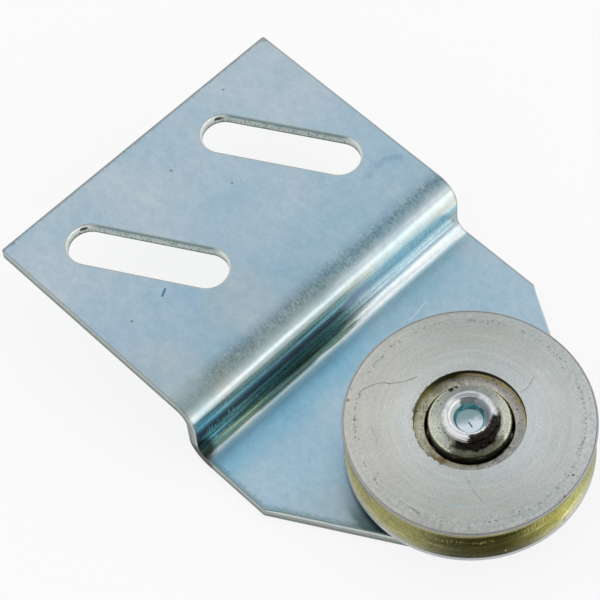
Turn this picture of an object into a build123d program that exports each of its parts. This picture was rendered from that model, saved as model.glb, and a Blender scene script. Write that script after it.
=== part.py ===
from build123d import *
import math
import os

# Sliding door roller: a grooved steel wheel on a ball bearing, riveted to a cranked and slotted
# plate that screws to the door.
#
# All sizes are millimetres. The origin is on the wheel's axis, in the plane of the plate's back.
# +Z runs along the axle from the plate to the wheel's open face, +Y from the wheel towards the
# screw slots, and +X across the plate.

os.makedirs("parts", exist_ok=True)

# ---- Mounting plate -------------------------------------------------------------------------
# One strip of steel with two bends, so that the screw flange stands in front of the axle flange.
plate_width = 60.0
plate_thickness = 2.0
crank_height = 10.5  # from one flange to the other, face to same face
bend_radius = 2.0  # inside radius of both bends
web_distance = 31.3  # wheel axis to the front of the web between the bends
screw_end_distance = 77.4  # wheel axis to the end of the screw flange
axle_end_distance = 11.5  # wheel axis to the end of the axle flange
corner_angle = 30.5  # the cropped lower corners, measured off the plate's length
left_corner_start = 16.4  # wheel axis to where the left corner's cut begins
right_corner_start = 14.0  # the right one begins lower
punch_rollover = 0.5  # rounding that the press leaves on the front of a punched edge
sheared_corner = 0.4  # radius of the sharp corners of the strip

# ---- Screw slots ----------------------------------------------------------------------------
slot_width = 7.4
slot_travel = 20.0  # between the centres of a slot's two round ends
slot_lean = 30.5  # off the plate's length, both slots the same way
slot_spacing = 30.4  # slot centre to slot centre, across the plate
slot_distance = 59.0  # wheel axis to the line through the slot centres
slot_shift = 1.1  # the pair sits this far right of the plate's middle

# ---- Wheel ----------------------------------------------------------------------------------
wheel_diameter = 40.0
wheel_width = 9.0
wheel_gap = 1.8  # from the plate's front to the wheel's back, held by the spacer washer
groove_depth = 3.6
groove_radius = 2.4  # at the bottom of the rail groove
rim_land = 0.95  # flat rim left on each side of the groove's mouth
rim_chamfer = 0.25
face_band_width = 2.3  # outer band of the open face, turned slightly lower
face_band_drop = 0.15
hub_recess = 1.6  # the race sits this far below each side of the wheel
back_lip = 0.8  # shoulder behind the race
bore_chamfer = 0.15

# ---- Ball bearing ---------------------------------------------------------------------------
# A full complement of loose balls, caught between two cones and a race pressed into the wheel.
ball_count = 13
ball_diameter = 3.0
ball_spacing_gap = 0.06  # between neighbouring balls
track_clearance = 0.06  # between a ball and its track
race_wall = 0.84  # behind the track, where the race is thinnest
cone_overhang = 0.19  # the cones' flanges reach this far past the balls' centres
race_gap = 0.45  # open ring between the cones and the race
cone_edge_radius = 0.5
race_edge_chamfer = 0.2

# ---- Axle rivet and spacer washer -----------------------------------------------------------
shank_diameter = 6.0
shank_clearance = 0.05  # on the radius, in every hole that the shank passes
back_head_diameter = 8.8  # countersunk into the plate, flush with its back
back_head_edge = 0.2  # straight rim of the countersunk head
front_head_diameter = 9.0
front_head_height = 1.65
head_edge_height = 0.6  # the head's edge starts this far above the cone
head_underside = 0.4  # how far the underside draws in from the edge
bead_rounding = 0.5
bead_crest_diameter = 7.8
crest_rounding = 0.35
valley_diameter = 6.9  # shallow ring between the rolled bead and the lip of the dimple
valley_drop = 0.23  # below the top of the head
valley_rounding = 0.06
lip_diameter = 6.4
lip_drop = 0.1
lip_rounding = 0.22
throat_diameter = 5.2  # where the funnel ends and the steep wall begins
throat_height = 0.5  # above the cone
throat_rounding = 0.2
dimple_floor_diameter = 4.3
dimple_depth = 2.05  # from the top of the head to the dimple's floor
washer_diameter = 12.0
washer_chamfer = 0.2

# ---- Places worked out from those sizes -----------------------------------------------------
plate_front = plate_thickness
flange_front = crank_height + plate_thickness
web_back = web_distance + plate_thickness
bend_outside = bend_radius + plate_thickness

wheel_radius = wheel_diameter / 2
wheel_back = plate_front + wheel_gap
wheel_face = wheel_back + wheel_width
ball_plane = (wheel_back + wheel_face) / 2

pitch_radius = (ball_diameter + ball_spacing_gap) / 2 / math.sin(math.pi / ball_count)
track_radius = ball_diameter / 2 + track_clearance
cone_radius = pitch_radius + cone_overhang
race_bore_radius = cone_radius + race_gap
race_radius = pitch_radius + track_radius + race_wall
race_face = wheel_face - hub_recess
race_back = wheel_back + hub_recess

shank_radius = shank_diameter / 2
shank_hole_radius = shank_radius + shank_clearance
head_radius = front_head_diameter / 2
back_head_radius = back_head_diameter / 2
head_top = wheel_face + front_head_height


def section(*points):
    """A closed outline in the half plane beside the axis: each point is (radius, height)."""
    return make_face(Polyline(*points, close=True))


def corner(outline, radius, height):
    """The outline's corner nearest to a place given as (radius, height)."""
    return outline.vertices().sort_by_distance(Vector(radius, height))[0]


def turned(outline):
    """The solid that an outline sweeps in one turn about the wheel's axis."""
    return revolve(Plane.XZ * outline, Axis.Z)


def slot_centres():
    """The two slot centres, left then right."""
    return [(slot_shift + side * slot_spacing / 2, slot_distance) for side in (-1, 1)]


def bent_strip():
    """The cranked strip, full width, before anything is punched out of it."""
    outline = section(
        (-axle_end_distance, 0),
        (web_back, 0),
        (web_back, crank_height),
        (screw_end_distance, crank_height),
        (screw_end_distance, flange_front),
        (web_distance, flange_front),
        (web_distance, plate_front),
        (-axle_end_distance, plate_front),
    )
    inside = [corner(outline, web_distance, plate_front), corner(outline, web_back, crank_height)]
    outline = fillet(inside, bend_radius)
    outside = [corner(outline, web_distance, flange_front), corner(outline, web_back, 0)]
    outline = fillet(outside, bend_outside)
    return extrude(Plane.YZ * outline, plate_width / 2, both=True)


def cropped_corner(side, start):
    """The piece that is cropped off one lower corner; side is -1 for left and 1 for right."""
    drop = start + axle_end_distance
    inward = drop * math.tan(math.radians(corner_angle))
    edge = side * plate_width / 2
    outline = section(
        (edge, start),
        (edge - side * inward, -axle_end_distance),
        (edge - side * inward, -axle_end_distance - plate_width),
        (edge + side * plate_width, -axle_end_distance - plate_width),
        (edge + side * plate_width, start),
    )
    return Pos(Z=-plate_thickness) * extrude(outline, 3 * plate_thickness)


def slot_punch(centre):
    """A punch with round ends that goes right through the screw flange."""
    outline = SlotCenterToCenter(slot_travel, slot_width)
    leaned = Pos(centre[0], centre[1], crank_height - plate_thickness) * Rot(Z=slot_lean - 90)
    return extrude(leaned * outline, 3 * plate_thickness)


def is_slot_mouth(edge):
    """True for an edge round the front of a slot."""
    middle = edge.center()
    reach = (slot_travel + slot_width) / 2
    in_front = abs(middle.Z - flange_front) < 0.01
    return in_front and any(math.hypot(middle.X - x, middle.Y - y) < reach for x, y in slot_centres())


def is_cropped_front(edge):
    """True for the front edge of a cropped lower corner."""
    middle = edge.center()
    along = abs((edge @ 1 - edge @ 0).normalized().X)
    slanted = 0.1 < along < 0.9
    return slanted and abs(middle.Z - plate_front) < 0.01 and middle.Y < web_distance


def mounting_plate():
    """Strip, cropped corners, screw slots, and the countersunk hole for the rivet."""
    plate = bent_strip()
    plate -= cropped_corner(-1, left_corner_start)
    plate -= cropped_corner(1, right_corner_start)
    for centre in slot_centres():
        plate -= slot_punch(centre)
    upright = plate.edges().filter_by(Axis.Z).filter_by_position(
        Axis.Y, screw_end_distance - 0.01, screw_end_distance + 0.01
    )
    plate = fillet(upright, sheared_corner)
    plate = fillet(plate.edges().filter_by(is_slot_mouth), punch_rollover)
    plate = fillet(plate.edges().filter_by(is_cropped_front), punch_rollover)
    sink = back_head_radius - shank_radius
    rivet_hole = section(
        (0, 0),
        (back_head_radius, 0),
        (back_head_radius, back_head_edge),
        (shank_hole_radius, back_head_edge + sink - shank_clearance),
        (shank_hole_radius, plate_front),
        (0, plate_front),
    )
    return plate - turned(rivet_hole)


def wheel():
    """Grooved wheel with a turned face, open hub recess and a lip behind the race."""
    # The flanks run from the rims to a virtual apex, so that they touch the bottom's arc.
    half_mouth = wheel_width / 2 - rim_land
    centre_depth = groove_depth - groove_radius
    flank = math.atan2(half_mouth, centre_depth)
    flank -= math.asin(groove_radius / math.hypot(half_mouth, centre_depth))
    apex = wheel_radius - half_mouth / math.tan(flank)
    band = wheel_radius - face_band_width
    outline = section(
        (race_radius - back_lip, wheel_back),
        (wheel_radius, wheel_back),
        (wheel_radius, ball_plane - half_mouth),
        (apex, ball_plane),
        (wheel_radius, ball_plane + half_mouth),
        (wheel_radius, wheel_face - face_band_drop),
        (band, wheel_face),
        (race_radius, wheel_face),
        (race_radius, race_back),
        (race_radius - back_lip, race_back),
    )
    outline = fillet(corner(outline, apex, ball_plane), groove_radius)
    rims = [
        corner(outline, wheel_radius, wheel_back),
        corner(outline, wheel_radius, wheel_face - face_band_drop),
    ]
    outline = chamfer(rims, rim_chamfer)
    mouths = [
        corner(outline, race_radius, wheel_face),
        corner(outline, race_radius - back_lip, wheel_back),
    ]
    return turned(chamfer(mouths, bore_chamfer))


def outer_race():
    """Ring pressed into the wheel, with the outer track for the balls."""
    outline = section(
        (race_bore_radius, race_back),
        (race_radius, race_back),
        (race_radius, race_face),
        (race_bore_radius, race_face),
    )
    outline = chamfer(corner(outline, race_bore_radius, race_face), race_edge_chamfer)
    track = Pos(pitch_radius, ball_plane) * Circle(track_radius)
    return turned(outline - track)


def front_cone():
    """The half of the inner bearing under the rivet's head, from the ball plane forwards."""
    outline = section(
        (shank_hole_radius, ball_plane),
        (cone_radius, ball_plane),
        (cone_radius, wheel_face),
        (shank_hole_radius, wheel_face),
    )
    outline = fillet(corner(outline, cone_radius, wheel_face), cone_edge_radius)
    track = Pos(pitch_radius, ball_plane) * Circle(track_radius)
    return turned(outline - track)


def rear_cone():
    """The same cone turned round, against the spacer washer."""
    return mirror(front_cone(), Plane.XY.offset(ball_plane))


def ball(index):
    """One loose ball in its place round the track."""
    angle = 2 * math.pi * index / ball_count
    place = Pos(pitch_radius * math.cos(angle), pitch_radius * math.sin(angle), ball_plane)
    return place * Sphere(ball_diameter / 2)


def spacer_washer():
    """Holds the bearing off the plate so that the wheel clears it."""
    outline = section(
        (shank_hole_radius, plate_front),
        (washer_diameter / 2, plate_front),
        (washer_diameter / 2, wheel_back),
        (shank_hole_radius, wheel_back),
    )
    return turned(chamfer(corner(outline, washer_diameter / 2, wheel_back), washer_chamfer))


def axle_rivet():
    """Countersunk at the back, clinched over the front cone in a beaded head with a dimple."""
    edge = (head_radius, wheel_face + head_edge_height)
    bead = (head_radius, head_top)
    crest = (bead_crest_diameter / 2, head_top)
    valley = (valley_diameter / 2, head_top - valley_drop)
    lip = (lip_diameter / 2, head_top - lip_drop)
    throat = (throat_diameter / 2, wheel_face + throat_height)
    floor = head_top - dimple_depth
    outline = section(
        (0, 0),
        (back_head_radius, 0),
        (back_head_radius, back_head_edge),
        (shank_radius, back_head_edge + back_head_radius - shank_radius),
        (shank_radius, wheel_face),
        (head_radius - head_underside, wheel_face),
        edge,
        bead,
        crest,
        valley,
        lip,
        throat,
        (dimple_floor_diameter / 2, floor),
        (0, floor),
    )
    for place, rounding in (
        (edge, head_edge_height / 2),
        (bead, bead_rounding),
        (crest, crest_rounding),
        (valley, valley_rounding),
        (lip, lip_rounding),
        (throat, throat_rounding),
    ):
        outline = fillet(corner(outline, *place), rounding)
    return turned(outline)


nodes = {
    "mounting_plate": mounting_plate(),
    "wheel": wheel(),
    "outer_race": outer_race(),
    "front_cone": front_cone(),
    "rear_cone": rear_cone(),
    "spacer_washer": spacer_washer(),
    "axle_rivet": axle_rivet(),
}
for index in range(ball_count):
    nodes[f"ball_{index + 1:02d}"] = ball(index)

for name, solid in nodes.items():
    export_step(solid, f"parts/{name}.step")
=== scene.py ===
"""Sliding door roller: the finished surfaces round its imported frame.

A zinc-plated steel plate with two slanted screw slots is cranked by two bends. A grooved steel
wheel runs on a full-complement ball bearing, held to the plate by a clinched axle rivet.

Sizes in this file are millimetres, and finished meshes are metres. The axes are the frame's:
the origin is on the wheel's axis in the plane of the plate's back, +Z runs along the axle to
the wheel's open face, +Y from the wheel towards the screw slots, and +X across the plate.
"""

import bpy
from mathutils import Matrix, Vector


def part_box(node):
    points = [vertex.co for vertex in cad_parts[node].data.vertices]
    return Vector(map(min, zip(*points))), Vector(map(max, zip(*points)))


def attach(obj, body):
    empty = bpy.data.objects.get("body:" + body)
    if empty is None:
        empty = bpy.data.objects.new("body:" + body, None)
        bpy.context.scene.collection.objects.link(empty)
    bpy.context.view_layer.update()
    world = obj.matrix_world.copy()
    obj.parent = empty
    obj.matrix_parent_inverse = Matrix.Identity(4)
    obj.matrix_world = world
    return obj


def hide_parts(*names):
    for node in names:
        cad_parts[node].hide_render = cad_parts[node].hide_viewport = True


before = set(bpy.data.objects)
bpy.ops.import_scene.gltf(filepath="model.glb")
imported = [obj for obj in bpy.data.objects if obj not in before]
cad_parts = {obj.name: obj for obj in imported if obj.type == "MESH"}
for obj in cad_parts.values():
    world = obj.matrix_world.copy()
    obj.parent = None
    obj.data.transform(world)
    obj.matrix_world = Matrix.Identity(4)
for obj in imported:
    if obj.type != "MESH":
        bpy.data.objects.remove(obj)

import copy
import logging
import math
import operator
from dataclasses import dataclass, field
from enum import Enum
from functools import cached_property, reduce
from typing import Sequence, Union

import bpy
import numpy as np
from mathutils import Matrix, Vector

Array = np.ndarray
Colour = tuple[float, float, float]  # linear light
Stop = tuple[float, Colour]  # a place along a profile, and the colour there
Place = tuple[float, float]
Triple = tuple[float, float, float]
Corner = tuple[float, float, float]  # across, up, and the radius that rounds the corner

MM = 0.001  # metres in a millimetre
RIGHT_ANGLE = math.pi / 2
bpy.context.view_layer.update()  # before any mesh is added
SHEET = "sheet"  # attribute: across, along and behind the front face of the flat sheet
WELD = 1e-4  # points nearer than this many millimetres are one point
WELD_OFFSET = 0.318  # keeps round numbers away from the edge of a welding cell
STRAIGHT = 1e-6  # a smaller turn than this is no corner
TINY = 1e-9  # keeps a normal's length from being zero
WHITE = (1.0, 1.0, 1.0)
LOW_GLOSS = 0.12  # specular level where dirt or grease dulls the metal
TRACK_SLACK = 0.06  # how far a track's rounding falls short of its radius
SIDES = (-1, 1)  # left and right

logging.basicConfig(level=logging.INFO, format="%(name)s: %(message)s")
log = logging.getLogger("roller")


# ---- Outlines and skins ---------------------------------------------------------------------


def node_box(node: str) -> tuple[list[float], list[float]]:
    """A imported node's box at rest, as its lowest and highest corners in millimetres."""
    low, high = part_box(node)
    return [value / MM for value in low], [value / MM for value in high]


def round_box(node: str) -> tuple[float, float, float]:
    """The radius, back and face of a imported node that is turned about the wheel's axis."""
    low, high = node_box(node)
    return high[0], low[2], high[2]


@dataclass(frozen=True)
class Outline:
    """Points along an outline with the material on its left, and the normals that face away."""

    points: Array
    normals: Array

    @classmethod
    def through(cls, corners: Sequence[Corner], closed: bool = True, step: float = 8.0) -> "Outline":
        """Straight runs between corners, with a tangent arc at each rounded corner.

        An arc's centre lies one radius to the inner side of the run that arrives, and its points
        are the centre plus the radius times the direction that is square to the heading, as the
        heading turns evenly from the run that arrives to the run that leaves.

        Args:
            corners: The corners in order, with the material on the left.
            closed: Whether the last corner runs back to the first.
            step: Degrees of turn between two points of an arc.

        Returns:
            The sampled outline.
        """
        places = np.array([corner[:2] for corner in corners])
        ahead = np.roll(places, -1, axis=0) - places
        headings = np.arctan2(ahead[:, 1], ahead[:, 0])
        points: list[Array] = []
        normals: list[Array] = []
        for index, (_, _, rounding) in enumerate(corners):
            leaving, arriving = headings[index], headings[index - 1]
            if not closed and index == 0:
                arriving = leaving
            if not closed and index == len(corners) - 1:
                leaving = arriving
            turn = (leaving - arriving + math.pi) % (2 * math.pi) - math.pi
            pieces = max(2, math.ceil(abs(math.degrees(turn)) / step))
            count = pieces + 1 if rounding and abs(turn) > STRAIGHT else 1
            heading = arriving + turn * np.linspace(0, 1, count)
            outward = np.stack([np.sin(heading), -np.cos(heading)], axis=-1)
            bulge = math.copysign(rounding, turn)
            reach = rounding * math.tan(abs(turn) / 2)
            start = places[index] - reach * np.array([math.cos(arriving), math.sin(arriving)])
            points.append(start + bulge * (outward - outward[0]))
            normals.append(outward)
        return cls(np.concatenate(points), np.concatenate(normals))

    def swept(self, radial: Array) -> tuple[Array, Array]:
        """The outline's points and normals, carried round a ring of directions.

        Each pair (across, up) becomes (across times the direction, up).

        Args:
            radial: Unit directions from the axis.

        Returns:
            The points and the normals, a row for each point of the outline.
        """

        def carried(values: Array) -> Array:
            """Each pair in every direction."""
            flat = values[:, None, :1] * radial[None]
            level = np.broadcast_to(values[:, None, 1:], (*flat.shape[:2], 1))
            return np.concatenate([flat, level], axis=-1)

        return carried(self.points), carried(self.normals)

    def turned(self, segments: int, closed: bool = True) -> "Skin":
        """The skin that the outline sweeps round the wheel's axis, at even angles.

        Args:
            segments: How many steps a whole turn takes.
            closed: Whether the outline is a loop; if not, it starts and ends on the axis.

        Returns:
            One closed skin.
        """
        angle = np.arange(segments) * (2 * math.pi / segments)
        radial = np.stack([np.cos(angle), np.sin(angle)], axis=-1)
        return Skin.joined([Skin.grid(*self.swept(radial), wrap_rows=closed, wrap_columns=True)])


@dataclass(frozen=True)
class Skin:
    """Points with outward normals, and four-sided faces between them.

    A skin of folded sheet also keeps each point's place in the flat sheet.
    """

    points: Array
    normals: Array
    faces: Array
    sheet: Array | None = None

    @classmethod
    def grid(
        cls,
        points: Array,
        normals: Array,
        sheet: Array | None = None,
        wrap_rows: bool = False,
        wrap_columns: bool = False,
    ) -> "Skin":
        """Faces between the neighbours of a grid of points.

        Args:
            points: Rows by columns by three coordinates.
            normals: An outward normal for each point.
            sheet: Each point's place in the flat sheet, if it has one.
            wrap_rows: Whether the last row joins the first.
            wrap_columns: Whether the last column joins the first.

        Returns:
            The skin of the grid.
        """
        rows, columns = points.shape[:2]
        index = np.arange(rows * columns).reshape(rows, columns)
        if wrap_rows:
            index = np.vstack([index, index[:1]])
        if wrap_columns:
            index = np.hstack([index, index[:, :1]])
        corners = [index[:-1, :-1], index[1:, :-1], index[1:, 1:], index[:-1, 1:]]
        faces = np.stack(corners, axis=-1).reshape(-1, 4)
        flat = None if sheet is None else sheet.reshape(-1, 3)
        return cls(points.reshape(-1, 3), normals.reshape(-1, 3), faces, flat)

    @classmethod
    def joined(cls, skins: Sequence["Skin"]) -> "Skin":
        """Several skins as one, with their common points welded.

        Args:
            skins: The skins, which meet at equal points.

        Returns:
            One closed skin whose faces all turn outwards.
        """
        starts = np.cumsum([0] + [len(skin.points) for skin in skins[:-1]])
        faces = np.concatenate([skin.faces + start for skin, start in zip(skins, starts)])
        points = np.concatenate([skin.points for skin in skins])
        normals = np.concatenate([skin.normals for skin in skins])
        cells = np.round(points / WELD + WELD_OFFSET).astype(np.int64)
        _, first, same = np.unique(cells, axis=0, return_index=True, return_inverse=True)
        same = same.reshape(-1)
        summed = np.zeros((len(first), 3))
        np.add.at(summed, same, normals)
        summed /= np.maximum(np.linalg.norm(summed, axis=1, keepdims=True), TINY)
        points, faces = points[first], same[faces]
        one, two, three, four = (points[faces[:, k]] for k in range(4))
        facing = (np.cross(three - one, four - two) * summed[faces].sum(axis=1)).sum(axis=1)
        faces = np.where(facing[:, None] < 0, faces[:, ::-1], faces)
        if skins[0].sheet is None:
            return cls(points, summed, faces)
        return cls(points, summed, faces, np.concatenate([skin.sheet for skin in skins])[first])

    def mesh(self, name: str) -> bpy.types.Mesh:
        """The skin as a smooth mesh in metres, where a face with a doubled point is a triangle.

        Args:
            name: The mesh's name.

        Returns:
            The mesh, with the skin's own normals.
        """
        repeats = self.faces == np.roll(self.faces, -1, axis=1)
        doubled = repeats.sum(axis=1)
        quads = self.faces[doubled == 0]
        triangles = self.faces[doubled == 1][~repeats[doubled == 1]].reshape(-1, 3)
        mesh = bpy.data.meshes.new(name)
        faces = quads.tolist() + triangles.tolist()
        mesh.from_pydata((self.points * MM).tolist(), [], faces, shade_flat=False)
        if self.sheet is not None:
            places = mesh.attributes.new(SHEET, "FLOAT_VECTOR", "POINT")
            places.data.foreach_set("vector", self.sheet.astype(np.float32).ravel())
        mesh.normals_split_custom_set_from_vertices(self.normals.tolist())
        return mesh


# ---- Shader maths ---------------------------------------------------------------------------


class Wire:
    """An output socket of a shader tree, with Python's arithmetic as Math nodes."""

    def __init__(self, graph: "Graph", socket: bpy.types.NodeSocket) -> None:
        """Keeps the graph and the socket that it wraps."""
        self.graph = graph
        self.socket = socket

    def maths(self, operation: str, *values: "Number", clamp: bool = False) -> "Wire":
        """One Math node on these values.

        Args:
            operation: The node's operation.
            values: Its inputs, numbers or wires.
            clamp: Whether the result is kept between 0 and 1.

        Returns:
            The node's result.
        """
        settings = {"operation": operation, "use_clamp": clamp}
        return self.graph.node("ShaderNodeMath", settings, dict(enumerate(values)))

    def __add__(self, other: "Number") -> "Wire":
        """Sum."""
        return self.maths("ADD", self, other)

    def __sub__(self, other: "Number") -> "Wire":
        """Difference."""
        return self.maths("SUBTRACT", self, other)

    def __rsub__(self, other: "Number") -> "Wire":
        """Difference from a number."""
        return self.maths("SUBTRACT", other, self)

    def __mul__(self, other: "Number") -> "Wire":
        """Product."""
        return self.maths("MULTIPLY", self, other)

    def __truediv__(self, other: "Number") -> "Wire":
        """Quotient."""
        return self.maths("DIVIDE", self, other)

    def __pow__(self, other: "Number") -> "Wire":
        """Power."""
        return self.maths("MULTIPLY", self, self) if other == 2.0 else self.maths("POWER", self, other)

    def __or__(self, other: "Number") -> "Wire":
        """The larger of the two, so that either mark shows."""
        return self.maths("MAXIMUM", self, other)

    __radd__ = __add__
    __rmul__ = __mul__

    def smallest(self, other: "Number") -> "Wire":
        """The smaller of the two."""
        return self.maths("MINIMUM", self, other)

    def size(self) -> "Wire":
        """The value without its sign."""
        return self.maths("ABSOLUTE", self)

    def clamped(self) -> "Wire":
        """The value kept between 0 and 1."""
        return self.maths("ADD", self, 0.0, clamp=True)

    def rise(self, start: float, end: float) -> "Wire":
        """A smooth step from 0 at start to 1 at end, or down where end is the lower."""
        low, high = min(start, end), max(start, end)
        ends = (0.0, 1.0) if start < end else (1.0, 0.0)
        inputs = {"Value": self, "From Min": low, "From Max": high, "To Min": ends[0], "To Max": ends[1]}
        return self.graph.node("ShaderNodeMapRange", {"interpolation_type": "SMOOTHSTEP"}, inputs)

    def band(self, low: float, high: float, soft: float) -> "Wire":
        """1 between low and high, fading to 0 over a soft distance outside them."""
        return self.rise(low - soft, low) * self.rise(high + soft, high)

    def sector(self, centre: float, half: float, soft: float) -> "Wire":
        """For an angle in degrees: 1 within half of the centre either way, fading over a soft angle."""
        turn = (self - centre).size()
        return turn.smallest(360.0 - turn).rise(half + soft, half)

    def swing(self, centre: float) -> "Wire":
        """For an angle in degrees: 1 at the centre and opposite it, and 0 a quarter turn away."""
        double = (self - centre) * math.radians(2.0)
        return double.maths("COSINE", double) * 0.5 + 0.5


Number = Union[float, Wire]
Hue = Union[Colour, Wire]  # a colour, given or made
Tone = Union[tuple[int, int, int], Wire]  # eight-bit display values, or a colour that is made
Tint = Union[float, Colour]


class Graph:
    """A shader tree under construction, for a material or the world."""

    def __init__(self, tree: bpy.types.ShaderNodeTree) -> None:
        """Empties the tree and keeps it."""
        tree.nodes.clear()
        self.tree = tree

    def node(
        self, kind: str, settings: dict | None = None, inputs: dict | None = None, output: int | str = 0
    ) -> Wire:
        """Adds any node.

        Args:
            kind: The node's type.
            settings: Its attributes, set before its sockets; stops are a ramp's places and colours.
            inputs: Values or wires by socket name or number.
            output: Which output is handed back.

        Returns:
            The chosen output, or a wire of nothing if the node has no outputs.
        """
        made = self.tree.nodes.new(kind)
        for key, value in (settings or {}).items():
            if key == "stops":
                self._set_stops(made.color_ramp, value)
            else:
                setattr(made, key, value)
        for key, value in (inputs or {}).items():
            socket = made.inputs[key]
            if isinstance(value, Wire):
                self.tree.links.new(value.socket, socket)
            elif isinstance(value, tuple) and len(value) == 3 and socket.type == "RGBA":
                socket.default_value = (*value, 1.0)
            else:
                socket.default_value = value
        return Wire(self, made.outputs[output] if len(made.outputs) else None)

    @staticmethod
    def _set_stops(ramp: bpy.types.ColorRamp, stops: Sequence[Stop]) -> None:
        """Gives a ramp its stops, in order."""
        while len(ramp.elements) < len(stops):
            ramp.elements.new(1.0)
        for element, (place, colour) in zip(ramp.elements, stops):
            element.position = place
            element.color = (*colour, 1.0)

    def vector(self, operation: str, *values: Wire | Triple, output: int = 0, **named: Number) -> Wire:
        """One Vector Math node.

        Args:
            operation: The node's operation.
            values: Its vectors in order.
            output: 0 for a vector and 1 for a number.
            named: Inputs by name, such as Scale.

        Returns:
            The node's result.
        """
        inputs = {**dict(enumerate(values)), **named}
        return self.node("ShaderNodeVectorMath", {"operation": operation}, inputs, output)

    def parts(self, vector: Wire) -> tuple[Wire, Wire, Wire]:
        """The three coordinates of a vector."""
        outputs = self.node("ShaderNodeSeparateXYZ", inputs={0: vector}).socket.node.outputs
        return Wire(self, outputs[0]), Wire(self, outputs[1]), Wire(self, outputs[2])

    def vector_of(self, x: Number, y: Number, z: Number) -> Wire:
        """A vector from its three coordinates."""
        return self.node("ShaderNodeCombineXYZ", inputs={0: x, 1: y, 2: z})

    def noise(self, where: Wire, scale: float, detail: float = 2.0, rough: float = 0.5) -> Wire:
        """Smooth noise about 0.5; scale is waves in a unit of the place that it reads."""
        inputs = {"Vector": where, "Scale": scale, "Detail": detail, "Roughness": rough}
        return self.node("ShaderNodeTexNoise", inputs=inputs, output="Fac")

    def profile(self, value: Wire, stops: Sequence[Stop]) -> Wire:
        """A colour that runs from stop to stop as a value grows."""
        low, high = stops[0][0], stops[-1][0]
        ramp = {"stops": [((place - low) / (high - low), colour) for place, colour in stops]}
        return self.node("ShaderNodeValToRGB", ramp, {"Fac": (value - low) / (high - low)})

    def mix(self, low: Hue, high: Hue, factor: Number, mode: str = "MIX") -> Wire:
        """Two colours mixed by a factor.

        Args:
            low: The colour at factor 0.
            high: The colour at factor 1.
            factor: How much of the second.
            mode: How they mix.

        Returns:
            The mixed colour.
        """
        settings = {"data_type": "RGBA", "blend_type": mode, "clamp_factor": True}
        return self.node("ShaderNodeMix", settings, {0: factor, 6: low, 7: high}, 2)


def srgb(red: int, green: int, blue: int) -> Colour:
    """A colour given as eight-bit display values, as linear light."""
    share = np.array([red, green, blue]) / 255
    linear = np.where(share <= 0.04045, share / 12.92, ((share + 0.055) / 1.055) ** 2.4)
    return tuple(float(value) for value in linear)


@dataclass(frozen=True)
class Plane:
    """Two coordinates on a surface, in which marks are drawn as 1 on a plain 0."""

    x: Wire
    y: Wire

    def squared(self, centre: Place) -> Wire:
        """The squared distance from a place."""
        return (self.x - centre[0]) ** 2.0 + (self.y - centre[1]) ** 2.0

    def spot(self, centre: Place, radius: float, edge: Number = 0.0) -> Wire:
        """A soft round spot; the edge value pushes its outline in or out."""
        return (self.squared(centre) ** 0.5 + edge).rise(radius, radius * 0.5)

    def line(self, start: Place, end: Place, width: float, sway: Number = 0.0) -> Wire:
        """A thin line between two places.

        Args:
            start: Where the line starts.
            end: Where it ends.
            width: Its full width.
            sway: How far it strays to the side.

        Returns:
            1 on the line and 0 away from it.
        """
        length = math.dist(start, end)
        east, north = (end[0] - start[0]) / length, (end[1] - start[1]) / length
        x, y = self.x - start[0], self.y - start[1]
        off = (y * east - x * north + sway).size()
        return off.rise(width * 0.8, width * 0.3) * (x * east + y * north).band(0.0, length, length * 0.12)

    def trail(self, places: Sequence[Place], width: float, sway: Number = 0.0) -> Wire:
        """A thin line through several places."""
        lines = [self.line(start, end, width, sway) for start, end in zip(places[:-1], places[1:])]
        return reduce(operator.or_, lines)


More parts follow.
